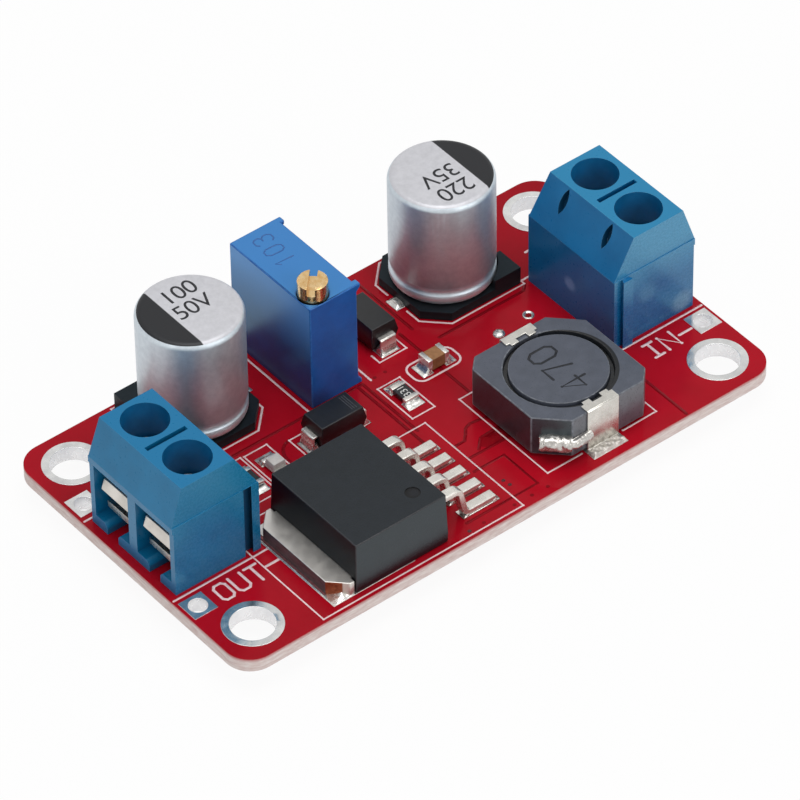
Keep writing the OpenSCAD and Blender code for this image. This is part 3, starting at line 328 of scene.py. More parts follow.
stroke_sheet, stroke_keys, given = node_sheet(
    "printed_strokes", (("Lines", "Geometry"), ("Width", "Float"), ("Depth", "Float"), ("Ink", "Material")),
    "Print")
lines, width, depth = (given.outputs[label] for label in ("Lines", "Width", "Depth"))
path = add_node(stroke_sheet, "GeometryNodeMeshToCurve", {"Mesh": lines})
path = add_node(stroke_sheet, "GeometryNodeSetCurveNormal", {"Curve": path}, mode="Z_UP")
section = add_node(stroke_sheet, "GeometryNodeCurvePrimitiveQuadrilateral",
                   {"Width": width, "Height": depth})
strokes = add_node(stroke_sheet, "GeometryNodeCurveToMesh",
                   {"Curve": path, "Profile Curve": section, "Fill Caps": True})
dot = add_node(stroke_sheet, "GeometryNodeMeshCylinder", {
    "Vertices": dot_sides, "Radius": maths(stroke_sheet, "MULTIPLY", width, 0.5),
    "Depth": maths(stroke_sheet, "MULTIPLY", depth, dot_depth)})
ends = add_node(stroke_sheet, "GeometryNodeMeshToPoints", {"Mesh": lines})
ends = add_node(stroke_sheet, "GeometryNodeInstanceOnPoints", {"Points": ends, "Instance": dot})
both = add_node(stroke_sheet, "GeometryNodeJoinGeometry", {"Geometry": strokes})
stroke_sheet.links.new(ends.outputs[0], both.inputs["Geometry"])
real = add_node(stroke_sheet, "GeometryNodeRealizeInstances", {"Geometry": both})
inked = add_node(stroke_sheet, "GeometryNodeSetMaterial",
                 {"Geometry": real, "Material": given.outputs["Ink"]})
add_node(stroke_sheet, "NodeGroupOutput", {"Print": inked})


def printed(name, lines, level, width, depth, ink):
    """Strokes `width` mm wide along lines of (x, y) mm points, lying on the level `level` mm. Lines and
    points differ in height by a hair, so that their faces don't share a plane."""
    points, pairs = [], []
    for k, line in enumerate(lines):
        closed = len(line) > 2 and line[0] == line[-1]
        first = len(points)
        for i, (x, y) in enumerate(line[:-1] if closed else line):
            z = level + depth / 2 + line_lift * (k % 3) + point_lift * (i % 2)
            points.append((x * MM, y * MM, z * MM))
        pairs += [(i, i + 1) for i in range(first, len(points) - 1)]
        if closed:
            pairs.append((len(points) - 1, first))
    piece = swept(name, points, pairs, stroke_sheet, stroke_keys,
                  {"Width": width * MM, "Depth": depth * MM, "Ink": ink})
    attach(piece, "module")


def arc(x, y, r, start, stop, steps):
    """Points along an arc about (x, y), from and to angles in degrees."""
    turns = [math.radians(start + (stop - start) * i / steps) for i in range(steps + 1)]
    return [(x + r * math.cos(turn), y + r * math.sin(turn)) for turn in turns]


def dots(spots, run):
    """Lines so short that each prints as a dot."""
    return [[(x, y), (x + run, y)] for x, y in spots]


gap_red = surface("copper_gap", "#7c0814", "#880a18", 3, (0.18, 0.26), 0.4, 0.003, gloss=0.1)
copper_gaps = [
    [(-15.6, 4.0), (-0.2, 4.0)],
    [(-0.64, 4.0), (-0.64, -3.9)],
    [(-0.16, 4.0), (-0.16, -2.6)],
    arc(-8.0, 1.1, 1.6, 190, 95, 8),
    [(5.52, 6.6), (5.52, -2.2)],
    [(0.9, -5.72), (1.85, -5.72), (2.35, -5.2), (2.75, -4.72), (3.3, -4.5), (4.3, -4.62), (5.6, -5.1)],
    [(0.9, -7.4), (5.4, -7.46)],
    [(2.1, -7.1), (3.0, -6.2), (5.4, -6.1)],
    [(0.3, -8.75), (3.16, -8.75), (3.16, -12.68), (-3.6, -12.68)],
    [(16.55, -14.0), (16.55, -8.2)],
    [(7.6, 4.4), (15.9, 4.4), (16.6, 5.1)],
    [(6.6, 13.6), (6.6, 6.4)],
]
printed("copper_gap_lines", copper_gaps, board_top, 0.27, 0.006, gap_red)
# A darker red patch beside the inductor's shield, between two of the gap lines.
patch_red = surface("darker_mask_patch", "#850914", "#910b1a", 3, (0.18, 0.26), 0.4, 0.003, gloss=0.1)
printed("darker_red_patch", [[(2.95, -6.78), (5.4, -6.78)]], board_top, 1.1, 0.005, patch_red)
faint_vias = [(0.35, -13.4), (2.0, -13.42), (3.5, -13.45), (-2.6, -13.42), (1.0, 4.0), (2.0, 4.0)]
faint_vias += [(18.3, 3.4 + 1.1 * i) for i in range(3)]
printed("tented_vias", dots(faint_vias, 0.02), board_top, 0.3, 0.007, gap_red)
# Open vias: dark dots laid on the face, painted shade that stands for the inside of their holes.
via_hole_shade = surface("open_via", "#3a0810", "#560c18", 0.3, (0.2, 0.35), 0.1, 0.01)
open_vias = [(1.36, -10.85), (1.45, -11.5), (-4.0, -13.45)]
printed("open_vias", dots(open_vias, 0.03), board_top, 0.3, 0.009, via_hole_shade)

# Legend: white ink screened on the mask, a hair thick. It frames each part's place and marks the poles at
# the two terminals. The ink is a little pink where the mask shines through.
can_x, can_y = 12.0, 9.43
minus_row, plus_row = -7.8, 6.1
frame_half, frame_cut, frame_gap = 4.45, 1.8, 1.2
ink_white = surface("legend_ink", "#e6c4c8", "#f2dcdc", 0.6, (0.5, 0.7), 0.1, 0.004, gloss=0.3)
letter_strokes = {
    "O": [[(0.14, 0), (0.48, 0), (0.62, 0.16), (0.62, 0.84), (0.48, 1), (0.14, 1), (0, 0.84), (0, 0.16),
           (0.14, 0)]],
    "U": [[(0, 1), (0, 0.16), (0.14, 0), (0.48, 0), (0.62, 0.16), (0.62, 1)]],
    "T": [[(0, 1), (0.62, 1)], [(0.31, 1), (0.31, 0)]],
    "I": [[(0.08, 1), (0.54, 1)], [(0.31, 1), (0.31, 0)], [(0.08, 0), (0.54, 0)]],
    "N": [[(0, 0), (0, 1), (0.62, 0), (0.62, 1)]],
    "+": [[(0, 0.52), (0.66, 0.52)], [(0.33, 0.2), (0.33, 0.84)]],
    "0": [[(0.16, 0), (0.46, 0), (0.62, 0.2), (0.62, 0.8), (0.46, 1), (0.16, 1), (0, 0.8), (0, 0.2),
           (0.16, 0)]],
    "1": [[(0.12, 0.8), (0.34, 1), (0.34, 0)]],
    "3": [[(0, 0.88), (0.14, 1), (0.46, 1), (0.6, 0.86), (0.6, 0.66), (0.46, 0.54), (0.26, 0.54)],
          [(0.46, 0.54), (0.62, 0.38), (0.62, 0.16), (0.46, 0), (0.14, 0), (0, 0.12)]],
    "4": [[(0.46, 0), (0.46, 1), (0, 0.3), (0.62, 0.3)]],
    "7": [[(0, 1), (0.62, 1), (0.24, 0)]],
}


def lettered(word, x, y, tall, pitch, turn=0, wide=1.0):
    """Stroke lines of a word that starts at (x, y) mm and runs at `turn` degrees."""
    c, s = math.cos(math.radians(turn)), math.sin(math.radians(turn))
    lines = []
    for k, letter in enumerate(word):
        for line in letter_strokes[letter]:
            spots = [(px * tall * wide + k * pitch, py * tall) for px, py in line]
            lines.append([(x + px * c - py * s, y + px * s + py * c) for px, py in spots])
    return lines


def rectangle(x0, x1, y0, y1):
    """A closed line round a rectangle."""
    return [(x0, y0), (x1, y0), (x1, y1), (x0, y1), (x0, y0)]


legend = []
for word, x, tall, pitch, wide, minus, plus_x in (
    ("OUT", -22.35, 1.7, 1.5, 1.0, [(-17.85, -6.85), (-16.7, -6.85)], -17.85),
    ("IN", 18.65, 1.6, 1.56, 1.18, [(21.8, -7.0), (23.0, -7.0)], 21.75),
):
    legend += lettered(word, x, minus_row, tall, pitch, wide=wide) + [minus]
    legend += lettered(word, x, plus_row, tall, pitch, wide=wide)
    legend += lettered("+", plus_x, plus_row, tall, pitch)
frames = [
    [(-25.3, -5.45), (-16.6, -5.45)], [(-25.3, 5.4), (-16.6, 5.4)],
    [(16.6, -5.5), (25.3, -5.5)], [(16.6, 5.4), (25.3, 5.4)],
    rectangle(-18.0, 0.82, -13.86, -2.3),
    [(7.7, -12.34), (4.41, -12.34), (4.41, -1.93), (7.7, -1.93)],
    [(11.7, -12.34), (14.97, -12.34), (14.97, -1.93), (11.7, -1.93)],
    [(-3.9, -0.35), (-8.25, -0.35), (-8.25, 2.66), (-3.9, 2.66)],
    [(2.33, 6.0), (2.33, 5.05), (4.93, 5.05), (4.93, 11.3), (2.33, 11.3), (2.33, 9.0)],
    rectangle(0.36, 2.5, -1.36, 2.85),
    rectangle(-11.95, -9.8, -1.2, 3.4),
    rectangle(-14.35, -12.22, -1.2, 3.5),
    [(-5.17, 3.95), (-5.17, 14.0)],
    [(0.6, 3.95), (0.6, 14.0)],
]
round_frame = arc(6.75, 2.66, 0.77, 0, 90, 5) + arc(3.99, 2.66, 0.77, 90, 180, 5)
round_frame += arc(3.99, 2.02, 0.77, 180, 270, 5) + arc(6.75, 2.02, 0.77, 270, 360, 5)
frames.append(round_frame + [round_frame[0]])
for x, sharp in ((-can_x, 1), (can_x, -1)):
    for up in (1, -1):
        frames.append([(x - sharp * frame_half, can_y + up * frame_gap),
                       (x - sharp * frame_half, can_y + up * frame_half),
                       (x + sharp * (frame_half - frame_cut), can_y + up * frame_half),
                       (x + sharp * frame_half, can_y + up * (frame_half - frame_cut)),
                       (x + sharp * frame_half, can_y + up * frame_gap)])
printed("pole_marks", legend, board_top, 0.23, 0.012, ink_white)
printed("part_frames", frames, board_top, 0.18, 0.012, ink_white)

# Plated copper: the rings and sleeves of the mounting holes, the square wire pads and the pads under the
# surface parts. All of it is tinned by hot air, so it is bright with soft ripples.
lead_field_x, lead_field_y = (-3.7, 0.0), (-13.0, -3.5)


def pad_face(middle, normal):
    """1 on the pads of the regulator's leads, whose colour holds the painted shade of its body."""
    in_field = (lead_field_x[0] < middle.x < lead_field_x[1]
                and lead_field_y[0] < middle.y < lead_field_y[1])
    return 1 if in_field else 0


tinned = surface("hot_air_tin", "#d6d6d6", "#f0f0ee", 1.2, (0.14, 0.26), 0.6, 0.01, metal=0.95)
# The hole walls take a whiter, less metallic copy of the tin: painted light that makes them look brightly
# lit.
sleeve_tin_painted_light = surface("sleeve_tin_painted_light", "#f0f0f2", "#ffffff", 1.2, (0.2, 0.3), 0.6, 0.001, metal=0.5)
for node in ("mounting_hole_plating", "wire_pads"):
    eased(node, node + "_ring", 0.02, [tinned, sleeve_tin_painted_light], choose=wall_face)
pad_tin = surface("pad_tin", "#c4c1be", "#e0ddd8", 0.6, (0.26, 0.4), 0.6, 0.004, metal=0.8)
# The lead pads take a darker, redder copy of the tin: painted shade of the regulator's body and leads.
pad_painted_shade = surface("pad_tin_painted_shade", "#7a4446", "#8e5656", 0.4, (0.3, 0.45), 0.2, 0.01, metal=0.7)
eased("component_pads", "tinned_pads", 0.02, [pad_tin, pad_painted_shade], segments=1, choose=pad_face)

# Solder: each foot and lead stands in a small bright fillet that climbs its sides and thins out to the rim
# of its pad. One via is filled, one has a half-filled rim. Under the board the pins have full cones.
pad_top = 3.16
rim_fade = 0.06
skirt = Vector((0, 0, 0.01 * MM))
lead_middle, lead_pitch = -8.25, 1.74
solder_bright = surface("solder", "#c2c0bc", "#ecebe6", 0.5, (0.16, 0.3), 0.4, 0.012, metal=0.85)
solder_dull = surface("solder_dull", "#a6a19b", "#d2cdc6", 0.4, (0.38, 0.52), 0.25, 0.02, metal=0.6)
solder_finishes = (solder_bright, solder_dull, pad_painted_shade)
bright, dull, shaded = range(3)


def about(middle, half):
    """The two ends of a span."""
    return middle - half, middle + half


def fillet(build, pad, foot, rise, reach, cells=14, ripple=0.08, finish=bright):
    """Solder on the rectangle `pad`, highest on the rectangle `foot` (x0, x1, y0, y1 in mm each)."""
    x0, x1, y0, y1 = pad
    rows = []
    for j in range(cells + 1):
        row = []
        for i in range(cells + 1):
            x, y = x0 + (x1 - x0) * i / cells, y0 + (y1 - y0) * j / cells
            away = math.hypot(max(foot[0] - x, 0, x - foot[1]), max(foot[2] - y, 0, y - foot[3]))
            rim = min(x - x0, x1 - x, y - y0, y1 - y)
            high = rise * math.exp(-away / reach) * (1 - math.exp(-rim / rim_fade))
            high *= 1 + ripple * math.sin(9 * x + 3 * y) * math.sin(7 * y - 2 * x)
            row.append(build.verts.new((x * MM, y * MM, (pad_top + high) * MM)))
        rows.append(row)
    faces = [(rows[j][i], rows[j][i + 1], rows[j + 1][i + 1], rows[j + 1][i])
             for j in range(cells) for i in range(cells)]
    loop = rows[0][:-1] + [r[-1] for r in rows[:-1]] + rows[-1][:0:-1] + [r[0] for r in rows[:0:-1]]
    sunk = [build.verts.new(v.co - skirt) for v in loop]
    faces += [(loop[i], loop[i - 1], sunk[i - 1], sunk[i]) for i in range(len(loop))]
    for corners in faces:
        build.faces.new(corners).material_index = finish
    build.faces.new(sunk[::-1])


def button(build, x, y, profile, around=28):
    """Solder turned about the upright axis at (x, y) mm, from the (radius, height) points of its profile."""
    turns = [2 * math.pi * i / around for i in range(around)]
    rings = []
    for r, h in profile:
        spots = [(x + r * math.cos(turn), y + r * math.sin(turn), board_top + h) for turn in turns]
        rings.append([build.verts.new([v * MM for v in spot]) for spot in spots])
    for low, high in zip(rings, rings[1:]):
        for i in range(around):
            build.faces.new((low[i], low[(i + 1) % around], high[(i + 1) % around], high[i]))
    build.faces.new(rings[0][::-1])
    build.faces.new(rings[-1])


build = bmesh.new()
# The regulator's five leads, then its tab.
for k in range(-2, 3):
    y = lead_middle + lead_pitch * k
    fillet(build, (-0.7, -0.07, *about(y, 0.48)), (-1.0, -0.38, *about(y, 0.4)), 0.3, 0.1)
    fillet(build, (-3.53, -2.9, *about(y, 0.48)), (-3.1, -2.8, *about(y, 0.4)), 0.3, 0.12)
fillet(build, (-3.4, -0.2, -12.22, -12.1), (-3.2, -0.3, -12.1, -12), 0.05, 0.1)
fillet(build, (-16.61, -16.44, -12.6, -3.2), (-16.55, -16.4, -11.9, -3.3), 0.06, 0.05, 24)
# Beside the tab's edge the solder takes the painted shade of the pads.
fillet(build, (-16.45, -16.1, -12.6, -3.22), (-16.4, -15, -11.9, -3.3), 0.08, 0.05, 24, finish=shaded)
fillet(build, (-16.61, -14.62, -13.33, -11.9), (-15.5, -14.6, -12.8, -11.9), 0.32, 0.4, 24)
# The capacitors' leads.
for x in (-can_x, can_x):
    for side in (-1, 1):
        across = sorted((x + side * 3.9, x + side * 5.03))
        foot_across = sorted((x + side * 3.9, x + side * 4.75))
        fillet(build, (*across, *about(can_y, 0.68)), (*foot_across, *about(can_y, 0.38)), 0.2, 0.14)
# The diodes' leads.
for pad, foot in (
    ((-3.2, -2.3, 0.3, 2.0), (-3.7, -2.6, 0.44, 1.86)), ((-8.0, -7.1, 0.3, 2.0), (-7.7, -6.6, 0.44, 1.86)),
    ((2.79, 4.51, 10.1, 11.0), (2.94, 4.36, 9.6, 10.7)), ((2.79, 4.51, 5.3, 6.2), (2.94, 4.36, 5.6, 6.7)),
):
    fillet(build, pad, foot, 0.75, 0.1)
# The chips: three that lie along Y, and the ceramic one along X.
for x in (-13.265, -10.82, 1.455):
    fillet(build, (*about(x, 0.76), 1.75, 2.58), (*about(x, 0.6), 1.7, 1.98), 0.34, 0.2)
    fillet(build, (*about(x, 0.76), -0.58, 0.25), (*about(x, 0.6), 0.02, 0.3), 0.34, 0.2)
fillet(build, (6.15, 6.98, 1.56, 3.08), (6.1, 6.38, 1.74, 2.9), 0.6, 0.18)
fillet(build, (3.82, 4.65, 1.56, 3.08), (4.42, 4.7, 1.74, 2.9), 0.6, 0.18)
# The inductor's clips, then the two vias.
fillet(build, (8.03, 11.29, -13.46, -12.5), (8.15, 11.15, -13.36, -12.3), 0.24, 0.1, 40, 0.3, dull)
fillet(build, (8.03, 11.29, -2.1, -1.14), (8.15, 11.15, -2.3, -1.24), 0.24, 0.1, 40, 0.3, dull)
rimmed_via = (14.4, 2.03)
button(build, 11.34, 1.8, [(0.5, 0), (0.49, 0.06), (0.42, 0.15), (0.28, 0.22), (0.1, 0.25)])
button(build, *rimmed_via, [(0.48, 0), (0.47, 0.05), (0.4, 0.09), (0.33, 0.06), (0.28, 0.012)])
mesh = bpy.data.meshes.new("solder_fillets")
build.to_mesh(mesh)
build.free()
for finish in solder_finishes:
    mesh.materials.append(finish)
smoothed(mesh, 60)
fillets = placed("solder_fillets", mesh)
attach(fillets, "module")
printed("via_bore", dots([rimmed_via], 0.02), board_top + 0.014, 0.46, 0.004, gap_red)
eased("pin_solder", "pin_cones", 0.03, [solder_bright])

# Screw terminals: two-pole blocks moulded in blue polyamide, which dovetail together at their ends. The ends
# lean in a little above the shoulder, the edges are scuffed pale, and the plastic has a faint flow cloud.
shoulder, terminal_top = 9.8, 13.15
end_wall, end_lean = 4.9, 0.1
back_wall, back_foot, back_slope = 17.0, (16.93, 9.75), (2.0, 3.4)
pole_y, well_x, well_r, well_floor = 2.54, 21.38, 1.95, 6.0
slot_depth, slot_half, slot_end = (0.1, 0.65), 0.45, 19.3
groove_x, groove_half, groove_y = 17.99, 0.56, (4.6, 5.07)
solid_share = 0.3


def near(finish, spot, reach):
    """1 at a point in mm, falling to 0 at the distance `reach` mm."""
    tree = finish.node_tree
    feeds = {0: tree.nodes["place"].outputs["Object"], 1: [v * MM for v in spot]}
    far = add_node(tree, "ShaderNodeVectorMath", feeds, operation="DISTANCE").outputs["Value"]
    return ranged(tree, far, reach * MM, solid_share * reach * MM, easing="SMOOTHSTEP")


def lean_ends(build):
    """Cuts the end walls at the shoulder and leans what is above it inwards."""
    everything = list(build.verts) + list(build.edges) + list(build.faces)
    bmesh.ops.bisect_plane(build, geom=everything, dist=1e-6, plane_co=(0, 0, shoulder * MM),
                           plane_no=(0, 0, 1))
    for vert in build.verts:
        above = vert.co.z / MM - shoulder
        if abs(vert.co.y) > end_wall * MM and above > 0:
            inwards = end_lean * above / (terminal_top - shoulder)
            vert.co.y -= math.copysign(inwards, vert.co.y) * MM


def terminal_face(middle, normal):
    """2 in a screw well, 3 in a relief slot or the dovetail groove, both with painted shade, 4 on the back
    wall, 5 on an end wall.
    """
    x, y, z = abs(middle.x), abs(middle.y), middle.z
    if math.hypot(x - well_x, y - pole_y) < well_r and abs(normal.z) < 0.5 and z > well_floor:
        return 2
    out, over = x - back_foot[0], z - back_foot[1]
    sunk = (out * back_slope[1] - over * back_slope[0]) / math.hypot(*back_slope)
    if slot_depth[0] < sunk < slot_depth[1] and abs(y - pole_y) < slot_half and x < slot_end and over > 0:
        return 3
    in_groove = abs(x - groove_x) < groove_half and groove_y[0] < y < groove_y[1]
    if in_groove and middle.x * middle.y > 0 and abs(normal.z) < 0.3:
        return 3
    if x < back_wall and abs(normal.x) > 0.9:
        return 4
    return 5 if y > end_wall and abs(normal.y) > 0.9 else 0


# Screw wells: a copy of the blue with painted shade, darker towards the bottom.
well_blue_painted_shade = surface("well_polyamide_painted_shade", "#0e5f90", "#1470a6", 2.0, (0.3, 0.4), 0.16, 0.004, gloss=0.2)
overlay(well_blue_painted_shade, "#073450", beyond(well_blue_painted_shade, "Z", 9.6, 2.4, -1))
# Relief slots and the dovetail groove: a deep navy copy, painted shade in the recesses.
recess_blue_painted_shade = surface("recess_polyamide_painted_shade", "#08344f", "#0c4264", 1.0, (0.4, 0.5), 0.16, 0.004, gloss=0.2)
# Pale cloudy patches at three points on the input block's back and end walls.
input_pale_patches = (((16.93, 0.13, 6.2), 0.85, "#7fa9d6"), ((23.7, -5.1, 4.2), 1.3, "#9cc6dc"),
              ((20.2, -5.1, 7.0), 1.2, "#5c9cc2"))
for pole, dark, light, scuff, top_painted_light, end_painted_light, end_gloss, pale_patches in (
    ("output", "#096794", "#1074a4", "#66b0d0", "#0f72a3", "#17769f", 0.55, ()),
    ("input", "#086096", "#0e6ca4", "#b4d8e8", "#2180ae", "#3f8db6", 0.9, input_pale_patches),
):
    blue, back_blue, end_blue = (
        surface(f"{pole}_{part}", dark, light, 3.0, rough, 0.2, 0.002, gloss=gloss, sheen=sheen)
        for part, rough, gloss, sheen in (
            ("polyamide", (0.27, 0.32), 0.5, (0.6, 0.88, 1.0)),
            ("back_wall", (0.27, 0.32), 0.55, (0.3, 0.7, 1.0)),
            ("end_wall", (0.25, 0.3), end_gloss, (0.6, 0.88, 1.0)),
        ))
    # Top faces lighter, and end walls lighter above the shoulder: painted light.
    overlay(blue, top_painted_light, beyond(blue, "Z", 13.12, 0.02))
    overlay(end_blue, end_painted_light, beyond(end_blue, "Z", 9.0, 1.8))
    terminal_worn = surface(pole + "_terminal_edge", "#1c74a6", scuff, 0.3, (0.4, 0.6), 0.12, 0.01)
    for spot, reach, tint in pale_patches:
        for finish in (back_blue, end_blue):
            clouds = finish.node_tree.nodes["clouds"].outputs["Fac"]
            overlay(finish, tint, maths(finish.node_tree, "MULTIPLY", near(finish, spot, reach), clouds))
    eased(pole + "_terminal_housing", pole + "_block", 0.09,
          [blue, terminal_worn, well_blue_painted_shade, recess_blue_painted_shade, back_blue, end_blue], worn=1, choose=terminal_face,
          reshape=lean_ends, crease=shoulder)

# Clamps: a tinned brass bracket with its solder pin, a bent spring-steel plate that guards the wire, and a
# slotted plated screw in each well. The screw pushes the plate down as it turns.
contact_tin = surface("contact_plating", "#aaa8a2", "#d8d5cd", 1.0, (0.24, 0.4), 0.2, 0.01, metal=1.0)
plate_steel = surface("plate_steel", "#bdb8b1", "#dcd7d0", 2.2, (0.28, 0.36), 0.6, 0.003, metal=0.9)
screw_zinc = surface("screw_zinc", "#b4bcc0", "#e2e6e8", 0.7, (0.24, 0.36), 0.15, 0.01, metal=0.5)
# The screw heads' broken edges are near white: painted glints at the bottom of the wells.
screw_rim_painted_glint = surface("screw_rim_painted_glint", "#dfe4e6", "#ffffff", 0.4, (0.2, 0.3), 0.15, 0.006, metal=0.3)
for pole in ("output", "input"):
    eased(pole + "_terminal_contacts", pole + "_brackets", 0.05, [contact_tin])
    for sign in ("minus", "plus"):
        eased(f"{pole}_{sign}_plate", f"{pole}_{sign}_guard", 0.06, [plate_steel])
        eased(f"{pole}_{sign}_screw", f"{pole}_{sign}_clamp_screw", 0.08, [screw_zinc, screw_rim_painted_glint], worn=1)

# Trimmer: a sealed multi-turn potentiometer in a blue moulded case, with a slotted brass screw that stands
# out of its top and three pins below. Its resistance code is on the top.
trimmer_top, trimmer_left_x = 13.1, -4.5
trimmer_blue_painted_top_light = surface("trimmer_case", "#0b4f98", "#125eae", 2.5, (0.3, 0.4), 0.14, 0.006, gloss=0.9,
                       sheen=(0.35, 0.72, 1.0))
# The top is lighter: a painted highlight.
overlay(trimmer_blue_painted_top_light, "#3a7cc0", beyond(trimmer_blue_painted_top_light, "Z", 13.04, 0.03))
# The left wall takes a darker copy of the case, lighter above: painted shade and painted sheen.
trimmer_left_painted_shade_and_sheen = surface("trimmer_left_painted_shade_and_sheen", "#0a3c72", "#0e4684", 2.5, (0.28, 0.36), 0.14, 0.004, gloss=0.8,
                       sheen=(0.22, 0.75, 1.0))
overlay(trimmer_left_painted_shade_and_sheen, "#5492d8", beyond(trimmer_left_painted_shade_and_sheen, "Z", 9.6, 2.6))
trimmer_worn = surface("trimmer_edge", "#165aa6", "#3576c0", 0.5, (0.36, 0.5), 0.12, 0.01, gloss=0.4)
brass = surface("trimmer_brass", "#deb070", "#f3d6a4", 0.5, (0.18, 0.3), 0.3, 0.006, metal=0.95)
eased("trimmer_housing", "trimmer_case", 0.1, [trimmer_blue_painted_top_light, trimmer_worn, trimmer_left_painted_shade_and_sheen], worn=1,
      choose=lambda middle, normal: 2 if normal.x < -0.9 and middle.x < trimmer_left_x else 0)
eased("trimmer_screw", "trimmer_adjuster", 0.05, [brass])
eased("trimmer_pins", "trimmer_legs", 0.03, [contact_tin])
# The engraved code is drawn as strokes of a darker blue on the top: painted shade of the engraving.
engraving_shade_blue = surface("trimmer_code", "#22589a", "#2a64a8", 0.6, (0.4, 0.5), 0.1, 0.006)
printed("trimmer_code", lettered("103", -1.96, 9.4, 1.6, 1.4, turn=87, wide=0.8), trimmer_top, 0.13, 0.006,
        engraving_shade_blue)

# Electrolytic capacitors: deep-drawn aluminium cans, beaded at the foot, on square black bases whose two
# chamfered corners mark the pole. A black segment on the top marks the other pole, beside the plain ratings.
can_top, lid_depth = 13.81, 0.2
capital_share, letter_gap, print_half, print_gap = 0.7, 0.95, 0.002, 0.004
can_foil_bead_highlight = surface("can_aluminium", "#c3ccd3", "#d2dae0", 0.5, (0.42, 0.5), 0.1, 0.003, metal=0.78)
can_lid = surface("can_lid", "#c6c6cb", "#d2d2d7", 0.5, (0.36, 0.46), 0.1, 0.002, metal=0.3)
can_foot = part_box("output_capacitor_can")[0][2] / MM
# Near-white band at the foot: a painted highlight along the bead.
overlay(can_foil_bead_highlight, "#f4f4f6", beyond(can_foil_bead_highlight, "Z", can_foot + 0.5, 0.2, -1))
base_black = surface("base_plate", "#111113", "#1a1a1d", 1.5, (0.4, 0.55), 0.15, 0.008, gloss=0.25,
                     sheen=(0.45, 0.8, 1.0))
print_dark = surface("can_print", "#1c1c20", "#2e2e32", 0.4, (0.5, 0.65), 0.08, 0.002, gloss=0.3)
lead_tin = surface("lead_tin", "#d6d2cb", "#ece9e2", 1.2, (0.24, 0.32), 0.7, 0.003, metal=0.8)


def typed(name, rows, level, turn, ink):
    """Rows of (text, x, y, height) in mm as a thin print, each centred on its place and turned by `turn`
    degrees."""
    turned = Matrix.Rotation(math.radians(turn), 4, "Z")
    build = bmesh.new()
    for text, x, y, tall in rows:
        words = bpy.data.curves.new(name, "FONT")
        words.body = text
        words.align_x = "CENTER"
        words.align_y = "CENTER"
        words.size = tall * MM / capital_share
        words.space_character = letter_gap
        words.extrude = print_half * MM
        writer = placed(name, words)
        graph = bpy.context.evaluated_depsgraph_get()
        row = bpy.data.meshes.new_from_object(writer.evaluated_get(graph))
        row.transform(Matrix.Translation((x * MM, y * MM, level * MM)) @ turned)
        build.from_mesh(row)
        bpy.data.objects.remove(writer)
        bpy.data.meshes.remove(row)
    bmesh.ops.remove_doubles(build, verts=build.verts, dist=1e-7)
    mesh = bpy.data.meshes.new(name)
    build.to_mesh(mesh)
    build.free()
    mesh.materials.append(ink)
    piece = placed(name, mesh)
    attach(piece, "module")


for pole, x, segment_at, sign, turn, rows in (
    ("output", -can_x, -1.5, -1, 0, (("100", 0.49, 1.91, 1.5), ("50V", 0.39, -0.01, 1.5))),
    ("input", can_x, 1.75, 1, 180, (("220", -0.34, -2.03, 1.5), ("35V", -0.33, -0.07, 1.5))),
):
    lid = can_lid.copy()
    lid.name = pole + "_can_lid"
    overlay(lid, "#1b1c20", beyond(lid, "X", x + segment_at, 0.03, sign))
    eased(pole + "_capacitor_can", pole + "_can", 0, [can_foil_bead_highlight, lid], smooth=40,
          choose=lambda middle, normal: 1 if normal.z > 0.8 and middle.z > can_top - lid_depth else 0)
    eased(pole + "_capacitor_base", pole + "_base", 0.06, [base_black])
    eased(pole + "_capacitor_leads", pole + "_leads", 0.03, [lead_tin])
    typed(pole + "_can_rating", [(text, x + dx, can_y + dy, tall) for text, dx, dy, tall in rows],
          can_top + print_gap, turn, print_dark)

# Power regulator: an epoxy body moulded over a tinned copper heat tab and five bent leads. The mould leaves
# a fine satin slate skin and a round dimple that marks the first lead. The tab's sheared corner shows its
# copper.
dimple_x, dimple_y, dimple_reach, regulator_top = -7.68, -11.43, 0.7, 7.8
epoxy = surface("regulator_epoxy", "#0d0f13", "#14161b", 0.9, (0.26, 0.36), 0.06, 0.003, gloss=0.42,
                sheen=(0.8, 0.92, 1.0))
front_epoxy = surface("regulator_front", "#0d0f13", "#14161b", 0.9, (0.26, 0.36), 0.06, 0.003, gloss=0.6,
                      sheen=(0.75, 0.92, 1.0))
# The wall over the tab is a darker copy of the epoxy: painted shade.
left_epoxy_painted_shade = surface("regulator_left_painted_shade", "#0a0b0f", "#101217", 0.9, (0.28, 0.38), 0.06, 0.003, gloss=0.15)
# The dimple is near black with a lighter middle set off towards the front: painted shade of its rim.
dimple_epoxy_painted_shade = surface("dimple_epoxy_painted_shade", "#050506", "#090a0c", 0.5, (0.4, 0.5), 0.06, 0.003, gloss=0.25)
overlay(dimple_epoxy_painted_shade, "#16181d", near(dimple_epoxy_painted_shade, (-7.58, -11.5, 7.7), 0.6))
epoxy_worn = surface("regulator_edge", "#1c1d21", "#2a2b30", 0.4, (0.4, 0.55), 0.08, 0.008)


def by_dimple(middle):
    """Whether a place is in or at the dimple."""
    return math.hypot(middle.x - dimple_x, middle.y - dimple_y) < dimple_reach


def regulator_face(middle, normal):
    """2 in the dimple, 3 on the front wall, 4 on the wall over the tab. The dimple and the wall over the tab
    take darker copies of the epoxy as painted shade.
    """
    if by_dimple(middle) and middle.z < regulator_top:
        return 2
    return 3 if normal.y < -0.8 else 4 if normal.x < -0.8 else 0


def tab_face(middle, normal):
    """1 on the sheared front corner, 2 on the end."""
    return 1 if normal.x < -0.5 and normal.y < -0.5 else 2 if normal.x < -0.9 else 0


